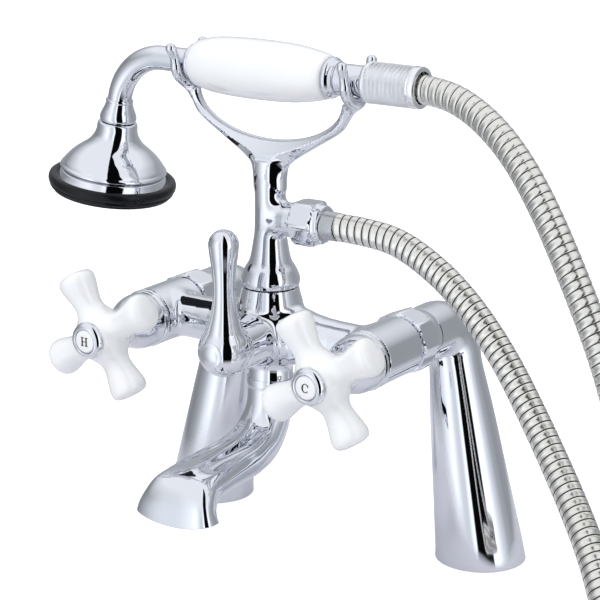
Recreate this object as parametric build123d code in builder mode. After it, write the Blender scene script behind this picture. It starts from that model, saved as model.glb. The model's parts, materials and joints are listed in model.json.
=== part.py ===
from build123d import *
from math import cos, pi, radians, sin, sqrt, tan
import os

# A deck-mounted bath mixer with a hand shower on a cradle.
# Millimetres. X runs to the cold side, -Y to the front, Z up from the deck.
# The origin lies on the deck, midway between the two legs.

# Layout of the castings
leg_spacing = 178.0
valve_spacing = 135.0
axis_height = 127.7
column_setback = 68.0
cradle_height = 263.5
sides = {"left": -1, "right": 1}

# Fits between pieces
slip = 0.05
seat_gap = 0.2
free_gap = 0.3
seam_chamfer = 0.5
overrun = 5.0

# Legs, with a threaded socket underneath and a hollow up to the neck
leg_foot_radius = 24.0
leg_shares = [(-0.04, 1.018), (0.3, 0.856), (0.61, 0.708), (0.8, 0.594)]
leg_neck_radius = 14.0
leg_bend_radius = 17.0
leg_neck_reach = 31.0
leg_neck_straight = 2.0
leg_wall = 3.2
leg_bore_radius = 10.0
leg_socket_radius = 9.45
leg_socket_depth = 17.0
leg_seal_outer = 21.0
leg_seal_inner = 16.0
leg_seal_thickness = 2.0

# Unions between the legs and the body: tail, washer and octagon nut
tail_bore_radius = 7.0
tail_depth = 13.0
tail_flange_radius = 13.0
tail_flange_station = 41.0
tail_flange_thickness = 3.0
union_washer_thickness = 2.0
nut_sides = 8
nut_corner_radius = 17.0
nut_shoulder_station = 38.8
nut_front_station = 52.5
nut_rear_hole_radius = 11.0
nut_chamfer = 1.2
nut_shoulder_radius = 14.4

# Valve barrels, cross arm, centre bulb, bottom boss and diverter barrel
barrel_radius = 15.2
barrel_front_station = 84.0
barrel_edge = 0.8
spigot_clearance = 0.25
spigot_bore_radius = 8.0
arm_radius = 11.7
arm_root_radius = 15.0
arm_root_share = 0.38
arm_mid_share = 0.5
arm_waist_share = 0.62
arm_rise = 1.3
bulb_radius = 17.6
bulb_shares = [(0.42, 0.9), (0.66, 0.98)]
bulb_low_rise = 12.0
bulb_high_rise = 20.6
bulb_top_rise = 24.6
top_seam_radius = 14.7
bottom_boss_radius = 11.7
bottom_seam_drop = 25.0
bottom_boss_length = 9.0
diverter_barrel_radius = 13.4
diverter_barrel_station = 103.0
waterway_radius = 6.0

# Valve cartridges with ceramic discs
valve_bore_radius = 11.0
valve_bore_depth = 23.0
cartridge_seal_thickness = 1.3
cartridge_seal_hole = 7.0
cartridge_flange_radius = 12.0
cartridge_flange_thickness = 2.0
cartridge_neck_radius = 7.0
cartridge_neck_length = 6.0
disc_chamber_radius = 8.6
disc_thickness = 2.5
disc_ports = 2
disc_port_radius = 2.4
disc_port_offset = 4.6
spindle_radius = 4.0
spindle_collar_thickness = 2.5

# Domed bonnets over the cartridges
bonnet_rim_radius = 15.3
bonnet_bead_length = 2.2
bonnet_shoulder_radius = 14.6
bonnet_nose_radius = 10.0
bonnet_nose_length = 2.6
bonnet_length = 23.0
bonnet_wall = 2.0
bonnet_hole_clearance = 1.2

# Four-armed porcelain handles
handle_back_station = 108.0
handle_plane_station = 122.0
handle_hub_radius = 13.0
handle_back_radius = 10.4
handle_front_radius = 9.8
handle_front_station = 133.0
handle_angles = [32.0, 122.0, 212.0, 302.0]
handle_reach = 35.0
handle_waist_radius = 7.0
handle_waist_share = 0.42
handle_tip_radius = 9.7
handle_tip_edge = 3.0
handle_web_thickness = 3.0
handle_cup_radius = 7.6
handle_cup_depth = 8.0

# Handle screws, bezels and index discs
screw_radius = 2.5
screw_head_radius = 4.6
screw_head_thickness = 3.4
screw_length = 14.0
screw_socket_width = 4.0
screw_socket_depth = 2.0
bezel_radius = 9.55
bezel_length = 4.0
bezel_floor = 0.9
bezel_spigot_length = 2.4
bezel_spigot_wall = 1.6
index_radius = 6.1
index_thickness = 2.5
index_edge = 0.5

# Diverter cartridge, lever, screw and cap
diverter_bore_radius = 10.0
diverter_bore_depth = 27.0
diverter_seal_thickness = 2.0
diverter_spindle_length = 28.0
lever_ball_radius = 13.6
lever_ball_station = 108.7
lever_front_station = 120.2
lever_height = 62.3
lever_tip_radius = 7.75
lever_shares = [(0.06, 1.471), (0.2, 1.11), (0.35, 0.826), (0.5, 0.723), (0.66, 0.787), (0.79, 0.929)]
lever_tip_share = 0.875
lever_bore_depth = 9.7
lever_web_thickness = 2.0
lever_cup_radius = 5.2
lever_screw_radius = 2.0
lever_screw_head_radius = 3.6
lever_screw_head_thickness = 2.4
lever_screw_length = 11.0
cap_radius = 6.7
cap_thickness = 1.2
cap_spigot_length = 2.2
cap_edge = 0.5

# Cradle column: turned lower part, outlet boss and throat
column_seam_radius = 14.7
column_height = 58.7
column_shares = [
    (0.07, 1.04), (0.15, 0.925), (0.24, 0.728), (0.39, 0.612),
    (0.51, 0.551), (0.76, 0.537), (0.93, 0.565), (1.0, 0.57),
]
column_spigot_radius = 9.0
column_spigot_length = 10.0
column_bore_radius = 5.0
column_seal_thickness = 2.0
outlet_height = 188.5
outlet_boss_radius = 9.0
outlet_boss_reach = 16.0
outlet_thread_radius = 8.85
outlet_thread_length = 12.0

# Lyre-shaped cradle with two forks
cradle_thickness = 9.0
cradle_inner_half = 43.0
cradle_inner_depth = 21.5
cradle_inner_drop = 13.0
cradle_outer_half = 54.0
cradle_tip_drop = 10.5
cradle_throat_half = 8.4
cradle_outer_shares = [(0.25, 0.833), (0.507, 0.619), (0.787, 0.393)]
fork_offset = 51.5
fork_width = 6.0
fork_wall = 4.0
fork_tip_spread = 14.0
fork_tip_rise = 8.6
fork_tip_radius = 2.3
fork_root_drop = 15.0
fork_root_half = 6.0

# Hex nut, washer and crimped ferrule at the hose outlet
outlet_nut_start = 17.0
outlet_nut_length = 17.0
outlet_nut_flats = 21.5
outlet_nut_wall = 1.4
outlet_nut_chamfer = 1.2
hex_sides = 6
hose_washer_thickness = 2.0
ferrule_flange_thickness = 2.4
ferrule_flange_radius = 8.8
ferrule_radius = 7.1
ferrule_end = 42.0

# Hand shower: pipe, connector, grip, end rings and knurled nut
pipe_radius = 6.35
pipe_bore_radius = 4.6
pipe_right_end = 38.5
gooseneck_start = 67.5
gooseneck_radius = 29.0
gooseneck_angle = 82.0
connector_radius = 7.75
connector_start = 42.0
connector_end = 60.5
grip_left = 45.0
grip_right = 36.0
grip_left_radius = 9.8
grip_right_radius = 10.9
grip_swell_radius = 15.0
grip_swell_share = 0.33
grip_fall_radius = 14.2
grip_fall_share = 0.78
left_ring_length = 3.2
left_ring_radius = 9.3
right_ring_neck_radius = 8.6
right_ring_radius = 10.2
knurl_start = 57.9
knurl_length = 30.9
knurl_radius = 10.5
knurl_mouth_radius = 7.9
knurl_edge = 2.0
knurl_bezel_length = 3.0
knurl_bezel_radius = 10.3

# Rose, turned about its own axis, and the black spray face
rose_collar_length = 11.6
rose_collar_top_radius = 6.9
rose_collar_radius = 9.7
rose_length = 27.0
rose_wall = 2.0
rose_top_radius = 10.1
rose_shares = [(0.19, 0.39), (0.32, 0.444), (0.45, 0.535), (0.58, 0.70), (0.70, 0.824), (0.84, 0.937)]
rose_rim_radius = 28.4
rose_ring_length = 5.0
rose_ring_radius = 30.6
rubber_radius = 34.1
rubber_length = 7.0
spray_radius = 29.5
spray_thickness = 3.0
nozzle_radius = 0.8
nozzle_rings = [(6, 8.0), (12, 15.0), (18, 22.0)]

# Bath spout
spout_spigot_radius = 8.0
spout_spigot_length = 9.0
spout_seal_thickness = 1.0
spout_collar_radius = 12.6
spout_collar_length = 3.0
spout_bore_radius = 6.0
spout_wall = 2.5
spout_reach = 84.0
spout_lip_half = 23.5
spout_drop = 51.0
spout_section_shares = [
    (0.00, 0.13, 90.0, 0.50, 0.50),
    (0.02, 0.34, 80.0, 0.55, 0.56),
    (0.12, 0.56, 45.0, 0.61, 0.55),
    (0.34, 0.68, 12.0, 0.66, 0.48),
    (0.62, 0.72, 6.0, 0.68, 0.43),
    (0.86, 0.79, 14.0, 0.80, 0.40),
    (0.98, 0.86, 24.0, 0.97, 0.35),
]

# Ribbed hose: free stretches and the coil put away on the deck
hose_radius = 7.1
hose_groove_radius = 6.3
hose_bore_radius = 4.5
rib_pitch = 4.3
rib_shares = [(0.08, 0), (0.24, 1), (0.76, 1), (0.92, 0)]
corner_share = 0.45
coil_radius = 71.0
coil_pitch = 15.0
coil_quarters = 6
coil_last_turn = 49.8
lower_route = [
    (42.0, -68.0, 188.5), (67.0, -68.0, 188.5), (88.5, -69.7, 182.0), (115.5, -75.0, 168.0),
    (144.0, -84.0, 145.0), (171.0, -97.0, 117.5), (197.5, -115.0, 94.0), (221.5, -136.0, 75.0),
    (241.0, -157.0, 53.5), (263.0, -177.0, 32.0), (291.0, -194.0, 14.5), (323.0, -206.5, 7.2),
    (354.0, -213.0, 7.2),
]
upper_route = [
    (73.0, -68.0, 263.5), (98.0, -68.0, 263.5), (120.0, -70.5, 256.0), (143.0, -77.5, 241.5),
    (164.5, -86.0, 219.5), (185.5, -95.0, 190.8), (205.0, -103.5, 161.5), (218.0, -110.0, 136.5),
    (228.5, -115.0, 109.5), (241.0, -119.0, 84.0), (258.0, -120.0, 60.5), (280.0, -115.0, 41.5),
]
upper_last_run = 27.0

os.makedirs("parts", exist_ok=True)


def finish(builder, name):
    builder.part.label = name
    export_step(builder.part, f"parts/{name}.step")


# Axes of the turned pieces: local X runs along the axis, local Y is the radius
valve_planes = {
    side: Plane((sign * valve_spacing / 2, 0, axis_height), x_dir=(0, -1, 0), z_dir=(-1, 0, 0))
    for side, sign in sides.items()
}
diverter_plane = Plane((0, 0, axis_height), x_dir=(0, -1, 0), z_dir=(-1, 0, 0))
column_plane = Plane((0, -column_setback, axis_height), x_dir=(0, 0, 1), z_dir=(0, 1, 0))
outlet_plane = Plane((0, -column_setback, outlet_height), x_dir=(1, 0, 0), z_dir=(0, -1, 0))
handset_plane = Plane((0, -column_setback, cradle_height), x_dir=(1, 0, 0), z_dir=(0, -1, 0))


def axis_of(plane):
    return Axis(plane.origin, plane.x_dir)


def turned(plane, outline):
    """A closed outline of (station, radius) points turned about the plane's X axis."""
    with BuildPart() as piece:
        with BuildSketch(plane):
            with BuildLine():
                Polyline(*outline, close=True)
            make_face()
        revolve(axis=axis_of(plane))
    return piece


def sleeve(plane, start, end, outer, inner=0.0, edge=0.0):
    """A plain ring, washer or plug between two stations on an axis."""
    return turned(plane, [
        (start, inner), (start, outer - edge), (start + edge, outer),
        (end - edge, outer), (end, outer - edge), (end, inner),
    ] if edge else [(start, inner), (start, outer), (end, outer), (end, inner)])


def bore(plane, start, end, radius, inner=0.0):
    """Remove a hole or ring groove between two stations from the piece being built."""
    cutter = turned(plane, [(start, inner), (start, radius), (end, radius), (end, inner)])
    add(cutter.part, mode=Mode.SUBTRACT)


# Legs: leaning tapered tubes that turn forward at the crown
leg_lean = (leg_spacing - valve_spacing) / 2
leg_length = sqrt(axis_height**2 + leg_lean**2)
leg_bend_station = leg_length - leg_bend_radius - leg_neck_straight

for side, sign in sides.items():
    foot = Vector(sign * leg_spacing / 2, 0, 0)
    crown = Vector(sign * valve_spacing / 2, 0, axis_height)
    neck_end = crown - Vector(0, leg_neck_reach, 0)
    leg_plane = Plane(foot, x_dir=crown - foot, z_dir=(0, 1, 0))
    foot_plane = Plane(foot, x_dir=(0, 0, 1), z_dir=(0, 1, 0))
    bend_start = foot + leg_plane.x_dir * leg_bend_station
    bend_plane = Plane(bend_start, z_dir=crown - foot)
    with BuildPart() as leg:
        with BuildSketch(leg_plane):
            with BuildLine():
                taper = [(leg_length * s, leg_foot_radius * r) for s, r in leg_shares]
                flank = Spline(*taper, (leg_bend_station, leg_neck_radius))
                Polyline(flank @ 1, (leg_bend_station, 0), (taper[0][0], 0), flank @ 0)
            make_face()
        revolve(axis=axis_of(leg_plane))
        split(bisect_by=Plane.XY, keep=Keep.TOP)
        with BuildLine() as bend:
            FilletPolyline(bend_start, crown, neck_end, radius=leg_bend_radius)
        with BuildSketch(bend_plane):
            Circle(leg_neck_radius)
        sweep(path=bend.line)
        with BuildSketch(leg_plane):
            with BuildLine():
                hollow = [(leg_length * s, leg_foot_radius * r - leg_wall) for s, r in leg_shares[1:]]
                floor = (leg_socket_depth, hollow[0][1])
                flank = Spline(floor, *hollow, (leg_bend_station, leg_bore_radius))
                Polyline(flank @ 1, (leg_bend_station, 0), (leg_socket_depth, 0), flank @ 0)
            make_face()
        revolve(axis=axis_of(leg_plane), mode=Mode.SUBTRACT)
        with BuildSketch(bend_plane):
            Circle(leg_bore_radius)
        sweep(path=bend.line, mode=Mode.SUBTRACT)
        bore(foot_plane, -overrun, leg_socket_depth + overrun, leg_socket_radius)
        bore(foot_plane, -overrun, leg_seal_thickness, leg_seal_outer + slip, leg_seal_inner - slip)
    finish(leg, f"{side}_leg")
    base_seal = sleeve(foot_plane, 0, leg_seal_thickness, leg_seal_outer, leg_seal_inner)
    finish(base_seal, f"{side}_base_seal")

# Unions: a tail in each neck, held to the body by an octagon nut
tail_flange_end = tail_flange_station + tail_flange_thickness
washer_end = tail_flange_end + union_washer_thickness
barrel_rear_station = nut_front_station + free_gap
nut_cavity_radius = tail_flange_radius + spigot_clearance
nut_rear_station = leg_neck_reach + seat_gap

for side, plane in valve_planes.items():
    tail_radius = leg_bore_radius - slip
    union_tail = turned(plane, [
        (leg_neck_reach - tail_depth, tail_bore_radius), (leg_neck_reach - tail_depth, tail_radius),
        (tail_flange_station, tail_radius), (tail_flange_station, tail_flange_radius),
        (tail_flange_end, tail_flange_radius), (tail_flange_end, tail_bore_radius),
    ])
    finish(union_tail, f"{side}_union_tail")
    washer = sleeve(plane, tail_flange_end, washer_end, tail_flange_radius, spigot_bore_radius)
    finish(washer, f"{side}_union_washer")
    nut_start = Plane(plane.origin + plane.x_dir * nut_rear_station, x_dir=(1, 0, 0), z_dir=(0, -1, 0))
    with BuildPart() as union_nut:
        with BuildSketch(nut_start):
            RegularPolygon(nut_corner_radius, nut_sides)
        extrude(amount=nut_front_station - nut_rear_station)
        with BuildSketch(plane):
            with BuildLine():
                shoulder = Spline(
                    (nut_rear_station, nut_shoulder_radius), (nut_shoulder_station, nut_corner_radius),
                    tangents=((1, 1), (1, 0)),
                )
                Polyline(
                    shoulder @ 1, (nut_front_station - nut_chamfer, nut_corner_radius),
                    (nut_front_station, nut_corner_radius - nut_chamfer), (nut_front_station, 0),
                    (nut_rear_station, 0), shoulder @ 0,
                )
            make_face()
        revolve(axis=axis_of(plane), mode=Mode.INTERSECT)
        bore(plane, nut_rear_station, nut_front_station, nut_rear_hole_radius)
        bore(plane, tail_flange_station - seat_gap, nut_front_station, nut_cavity_radius)
    finish(union_nut, f"{side}_union_nut")

# Mixer body: one casting with two valve barrels, cross arm, bulb and diverter barrel
half_span = valve_spacing / 2
valve_bore_floor = barrel_front_station - valve_bore_depth
diverter_bore_floor = diverter_barrel_station - diverter_bore_depth
top_socket_floor = bulb_top_rise - column_spigot_length - column_seal_thickness
bottom_socket_roof = spout_spigot_length + spout_seal_thickness - bottom_seam_drop
arm_plane = Plane((0, -column_setback, axis_height + arm_rise), x_dir=(1, 0, 0), z_dir=(0, -1, 0))
waterway_plane = Plane((0, -column_setback, axis_height), x_dir=(1, 0, 0), z_dir=(0, -1, 0))

with BuildPart() as mixer_body:
    for plane in valve_planes.values():
        with BuildSketch(plane):
            with BuildLine():
                Polyline(
                    (washer_end, 0), (washer_end, tail_flange_radius),
                    (barrel_rear_station, tail_flange_radius),
                    (barrel_rear_station, barrel_radius - barrel_edge),
                    (barrel_rear_station + barrel_edge, barrel_radius),
                    (barrel_front_station - seam_chamfer, barrel_radius),
                    (barrel_front_station, barrel_radius - seam_chamfer),
                    (barrel_front_station, 0), close=True,
                )
            make_face()
        revolve(axis=axis_of(plane))
    with BuildSketch(arm_plane):
        with BuildLine():
            root = Line((0, arm_root_radius), (half_span * arm_root_share, arm_root_radius))
            waist = Spline(
                root @ 1, (half_span * arm_mid_share, (arm_root_radius + arm_radius) / 2),
                (half_span * arm_waist_share, arm_radius), tangents=((1, 0), (1, 0)),
            )
            Polyline(waist @ 1, (half_span, arm_radius), (half_span, 0), (0, 0), root @ 0)
        make_face()
        mirror(about=Plane.YZ)
    revolve(axis=axis_of(arm_plane))
    with BuildSketch(column_plane):
        with BuildLine():
            boss_top = bottom_boss_length - bottom_seam_drop
            rise = bulb_low_rise - boss_top
            swell = Spline(
                (boss_top, bottom_boss_radius),
                *[(boss_top + rise * s, bulb_radius * r) for s, r in bulb_shares],
                (bulb_low_rise, bulb_radius), tangents=((1, 0), (1, 0)),
            )
            crown_line = Line(swell @ 1, (bulb_high_rise, bulb_radius))
            shoulder = Spline(
                crown_line @ 1, (bulb_top_rise, top_seam_radius), tangents=((1, 0), (0, -1)),
            )
            Polyline(
                shoulder @ 1, (bulb_top_rise, 0), (-bottom_seam_drop, 0),
                (-bottom_seam_drop, bottom_boss_radius - seam_chamfer),
                (-bottom_seam_drop + seam_chamfer, bottom_boss_radius), swell @ 0,
            )
        make_face()
    revolve(axis=axis_of(column_plane))
    with BuildSketch(diverter_plane):
        with BuildLine():
            Polyline(
                (column_setback, 0), (column_setback, diverter_barrel_radius),
                (diverter_barrel_station - seam_chamfer, diverter_barrel_radius),
                (diverter_barrel_station, diverter_barrel_radius - seam_chamfer),
                (diverter_barrel_station, 0), close=True,
            )
        make_face()
    revolve(axis=axis_of(diverter_plane))
    for plane in valve_planes.values():
        bore(plane, washer_end, barrel_front_station, spigot_bore_radius)
        bore(plane, valve_bore_floor, barrel_front_station, valve_bore_radius)
    bore(waterway_plane, -half_span, half_span, waterway_radius)
    bore(diverter_plane, column_setback, diverter_barrel_station, waterway_radius)
    bore(diverter_plane, diverter_bore_floor, diverter_barrel_station, diverter_bore_radius)
    bore(column_plane, -bottom_seam_drop, bulb_top_rise, waterway_radius)
    bore(column_plane, top_socket_floor, bulb_top_rise, column_spigot_radius + slip)
    bore(column_plane, -bottom_seam_drop, bottom_socket_roof, spout_spigot_radius + slip)
finish(mixer_body, "mixer_body")

# Valve cartridges: seal, housing, a fixed and a turning ceramic disc, and the spindle
cartridge_start = valve_bore_floor + cartridge_seal_thickness
fixed_disc_end = cartridge_start + disc_thickness
turning_disc_end = fixed_disc_end + disc_thickness
collar_end = turning_disc_end + spindle_collar_thickness
chamber_end = collar_end + free_gap
cartridge_outer = valve_bore_radius - slip
flange_end = barrel_front_station + cartridge_flange_thickness
neck_end_station = flange_end + cartridge_neck_length
handle_cup_floor = handle_front_station - handle_cup_depth
handle_web_rear = handle_cup_floor - handle_web_thickness
turning_radius = disc_chamber_radius - free_gap
bonnet_nose_station = barrel_front_station + bonnet_length

for side, plane in valve_planes.items():
    cartridge_seal = sleeve(plane, valve_bore_floor, cartridge_start, cartridge_outer, cartridge_seal_hole)
    finish(cartridge_seal, f"{side}_cartridge_seal")
    cartridge = turned(plane, [
        (cartridge_start, disc_chamber_radius), (cartridge_start, cartridge_outer),
        (barrel_front_station, cartridge_outer), (barrel_front_station, cartridge_flange_radius),
        (flange_end, cartridge_flange_radius), (flange_end, cartridge_neck_radius),
        (neck_end_station, cartridge_neck_radius), (neck_end_station, spindle_radius + slip),
        (chamber_end, spindle_radius + slip), (chamber_end, disc_chamber_radius),
    ])
    finish(cartridge, f"{side}_valve_cartridge")
    discs = {
        "fixed_disc": (cartridge_start, fixed_disc_end, disc_chamber_radius - slip),
        "turning_disc": (fixed_disc_end, turning_disc_end, turning_radius),
    }
    for disc_name, (start, end, radius) in discs.items():
        disc_face = Plane(plane.origin + plane.x_dir * start, x_dir=(1, 0, 0), z_dir=(0, -1, 0))
        with BuildPart() as ceramic_disc:
            with BuildSketch(disc_face):
                Circle(radius)
                with PolarLocations(disc_port_offset, disc_ports):
                    Circle(disc_port_radius, mode=Mode.SUBTRACT)
            extrude(amount=end - start)
        finish(ceramic_disc, f"{side}_{disc_name}")
    with BuildPart() as spindle:
        with BuildSketch(plane):
            with BuildLine():
                Polyline(
                    (turning_disc_end, 0), (turning_disc_end, turning_radius),
                    (collar_end, turning_radius), (collar_end, spindle_radius),
                    (handle_web_rear - slip, spindle_radius), (handle_web_rear - slip, 0), close=True,
                )
            make_face()
        revolve(axis=axis_of(plane))
        bore(plane, handle_cup_floor - screw_length - free_gap, handle_web_rear, screw_radius)
    finish(spindle, f"{side}_spindle")

    with BuildPart() as bonnet:
        with BuildSketch(plane):
            with BuildLine():
                bead_end = barrel_front_station + bonnet_bead_length
                dome_end = bonnet_nose_station - bonnet_nose_length
                inner_end = dome_end - bonnet_wall / 2
                hole_radius = spindle_radius + bonnet_hole_clearance
                dome = Spline(
                    (bead_end, bonnet_shoulder_radius), (dome_end, bonnet_nose_radius + slip),
                    tangents=((1, 0), (1, -1)),
                )
                Polyline(
                    dome @ 1, (dome_end, bonnet_nose_radius), (bonnet_nose_station, bonnet_nose_radius),
                    (bonnet_nose_station, hole_radius), (inner_end, hole_radius),
                    (inner_end, bonnet_nose_radius - bonnet_wall),
                )
                vault = Spline(
                    (inner_end, bonnet_nose_radius - bonnet_wall),
                    (bead_end, bonnet_shoulder_radius - bonnet_wall), tangents=((-1, 1), (-1, 0)),
                )
                Polyline(
                    vault @ 1, (barrel_front_station, bonnet_shoulder_radius - bonnet_wall),
                    (barrel_front_station, bonnet_rim_radius - seam_chamfer),
                    (barrel_front_station + seam_chamfer, bonnet_rim_radius),
                    (bead_end - seam_chamfer, bonnet_rim_radius), dome @ 0,
                )
            make_face()
        revolve(axis=axis_of(plane))
    finish(bonnet, f"{side}_bonnet")

# Handles: a hub with four waisted arms, fixed by a screw under an index disc
arm_root = handle_cup_radius + free_gap
arm_edge = handle_reach - handle_tip_edge
bezel_end = handle_front_station + bezel_length
floor_end = handle_front_station + bezel_floor
spigot_start = handle_front_station - bezel_spigot_length
spigot_outer = handle_cup_radius - slip

for side, plane in valve_planes.items():
    with BuildPart() as handle:
        with BuildSketch(plane):
            with BuildLine():
                belly = Spline(
                    (handle_back_station, handle_back_radius),
                    (handle_plane_station, handle_hub_radius),
                    (handle_front_station, handle_front_radius),
                    tangents=((1, 1), (1, -1)),
                )
                Polyline(belly @ 1, (handle_front_station, 0), (handle_back_station, 0), belly @ 0)
            make_face()
        revolve(axis=axis_of(plane))
        centre = plane.origin + plane.x_dir * handle_plane_station
        for angle in handle_angles:
            direction = Vector(cos(radians(angle)), 0, sin(radians(angle)))
            arm = Plane(centre, x_dir=direction, z_dir=(0, -1, 0))
            with BuildSketch(arm):
                with BuildLine():
                    swell = Spline(
                        (arm_root, (handle_waist_radius + handle_tip_radius) / 2),
                        (handle_reach * handle_waist_share, handle_waist_radius),
                        (arm_edge, handle_tip_radius), (handle_reach, 0),
                        tangents=((1, -1), (0, -1)),
                    )
                    Polyline(swell @ 1, (arm_root, 0), swell @ 0)
                make_face()
            revolve(axis=axis_of(arm))
        bore(plane, handle_back_station, handle_web_rear, spindle_radius + slip)
        bore(plane, handle_back_station, handle_front_station, screw_radius + seat_gap)
        bore(plane, handle_cup_floor, handle_front_station, handle_cup_radius)
    finish(handle, f"{side}_handle")

    head_end = handle_cup_floor + screw_head_thickness
    screw_end = handle_cup_floor - screw_length
    head_face = Plane(plane.origin + plane.x_dir * head_end, x_dir=(1, 0, 0), z_dir=(0, 1, 0))
    with BuildPart() as handle_screw:
        with BuildSketch(plane):
            with BuildLine():
                Polyline(
                    (screw_end, 0), (screw_end, screw_radius - slip),
                    (handle_cup_floor, screw_radius - slip), (handle_cup_floor, screw_head_radius),
                    (head_end, screw_head_radius), (head_end, 0), close=True,
                )
            make_face()
        revolve(axis=axis_of(plane))
        with BuildSketch(head_face):
            RegularPolygon(screw_socket_width / 2, hex_sides)
        extrude(amount=screw_socket_depth, mode=Mode.SUBTRACT)
    finish(handle_screw, f"{side}_handle_screw")

    bezel = turned(plane, [
        (spigot_start, spigot_outer - bezel_spigot_wall), (spigot_start, spigot_outer),
        (handle_front_station, spigot_outer), (handle_front_station, bezel_radius),
        (bezel_end - seam_chamfer, bezel_radius), (bezel_end, bezel_radius - seam_chamfer),
        (bezel_end, index_radius + slip), (floor_end, index_radius + slip), (floor_end, 0),
        (handle_front_station, 0), (handle_front_station, spigot_outer - bezel_spigot_wall),
    ])
    finish(bezel, f"{side}_index_bezel")
    with BuildPart() as index_disc:
        with BuildSketch(plane):
            with BuildLine():
                rim = floor_end + index_thickness - index_edge
                Polyline(
                    (floor_end, 0), (floor_end, index_radius), (rim, index_radius),
                    (rim + index_edge, index_radius - index_edge), (rim + index_edge, 0), close=True,
                )
            make_face()
        revolve(axis=axis_of(plane))
    finish(index_disc, f"{side}_index_disc")

# Diverter: seal, cartridge, spindle, lever, screw and cap
diverter_seal_end = diverter_bore_floor + diverter_seal_thickness
diverter_outer = diverter_bore_radius - slip
lever_back_station = diverter_barrel_station + free_gap
lever_bore_end = lever_back_station + lever_bore_depth
spindle_start = lever_bore_end - diverter_spindle_length
lever_cup_floor = lever_bore_end + lever_web_thickness
cap_end = lever_front_station + cap_thickness

finish(
    sleeve(diverter_plane, diverter_bore_floor, diverter_seal_end, diverter_outer, column_bore_radius),
    "diverter_seal",
)
diverter_cartridge = turned(diverter_plane, [
    (diverter_seal_end, column_bore_radius), (diverter_seal_end, diverter_outer),
    (diverter_barrel_station, diverter_outer), (diverter_barrel_station, spindle_radius + slip),
    (spindle_start - seat_gap, spindle_radius + slip), (spindle_start - seat_gap, column_bore_radius),
])
finish(diverter_cartridge, "diverter_cartridge")
with BuildPart() as diverter_spindle:
    with BuildSketch(diverter_plane):
        Polygon(
            (spindle_start, 0), (spindle_start, spindle_radius),
            (lever_bore_end - slip, spindle_radius), (lever_bore_end - slip, 0), align=None,
        )
    revolve(axis=axis_of(diverter_plane))
    bore(
        diverter_plane, lever_cup_floor - lever_screw_length - free_gap, lever_bore_end,
        lever_screw_radius + slip,
    )
finish(diverter_spindle, "diverter_spindle")

lever_plane = Plane(
    diverter_plane.origin + diverter_plane.x_dir * lever_ball_station, x_dir=(0, 0, 1), z_dir=(0, 1, 0)
)
back_offset = lever_back_station - lever_ball_station
front_offset = lever_front_station - lever_ball_station
with BuildPart() as diverter_lever:
    with BuildSketch(diverter_plane):
        with BuildLine():
            ball = ThreePointArc(
                (lever_back_station, sqrt(lever_ball_radius**2 - back_offset**2)),
                (lever_ball_station, lever_ball_radius),
                (lever_front_station, sqrt(lever_ball_radius**2 - front_offset**2)),
            )
            Polyline(ball @ 1, (lever_front_station, 0), (lever_back_station, 0), ball @ 0)
        make_face()
    revolve(axis=axis_of(diverter_plane))
    with BuildSketch(lever_plane):
        with BuildLine():
            stem_points = [(lever_height * s, lever_tip_radius * r) for s, r in lever_shares]
            tip_start = (lever_height * lever_tip_share, lever_tip_radius)
            stem = Spline(*stem_points, tip_start, (lever_height, 0), tangents=((1, -1), (0, -1)))
            Polyline(stem @ 1, (stem_points[0][0], 0), stem @ 0)
        make_face()
    revolve(axis=axis_of(lever_plane))
    bore(diverter_plane, column_setback, lever_back_station, diverter_barrel_radius + free_gap)
    bore(diverter_plane, lever_back_station, lever_bore_end, spindle_radius + slip)
    bore(diverter_plane, lever_back_station, lever_front_station, lever_screw_radius + seat_gap)
    bore(diverter_plane, lever_cup_floor, lever_front_station, lever_cup_radius)
finish(diverter_lever, "diverter_lever")

head_end = lever_cup_floor + lever_screw_head_thickness
lever_screw = turned(diverter_plane, [
    (lever_cup_floor - lever_screw_length, 0), (lever_cup_floor - lever_screw_length, lever_screw_radius),
    (lever_cup_floor, lever_screw_radius), (lever_cup_floor, lever_screw_head_radius),
    (head_end, lever_screw_head_radius), (head_end, 0),
])
finish(lever_screw, "diverter_screw")
diverter_cap = turned(diverter_plane, [
    (lever_front_station - cap_spigot_length, 0),
    (lever_front_station - cap_spigot_length, lever_cup_radius - slip),
    (lever_front_station, lever_cup_radius - slip), (lever_front_station, cap_radius),
    (cap_end - cap_edge, cap_radius), (cap_end, cap_radius - cap_edge), (cap_end, 0),
])
finish(diverter_cap, "diverter_cap")

# Cradle column: turned column with an outlet boss, a lyre and two forks, one casting
column_start = bulb_top_rise
column_spigot_start = column_start - column_spigot_length
outlet_rise = outlet_height - axis_height
outlet_thread_end = outlet_boss_reach + outlet_thread_length

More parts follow.
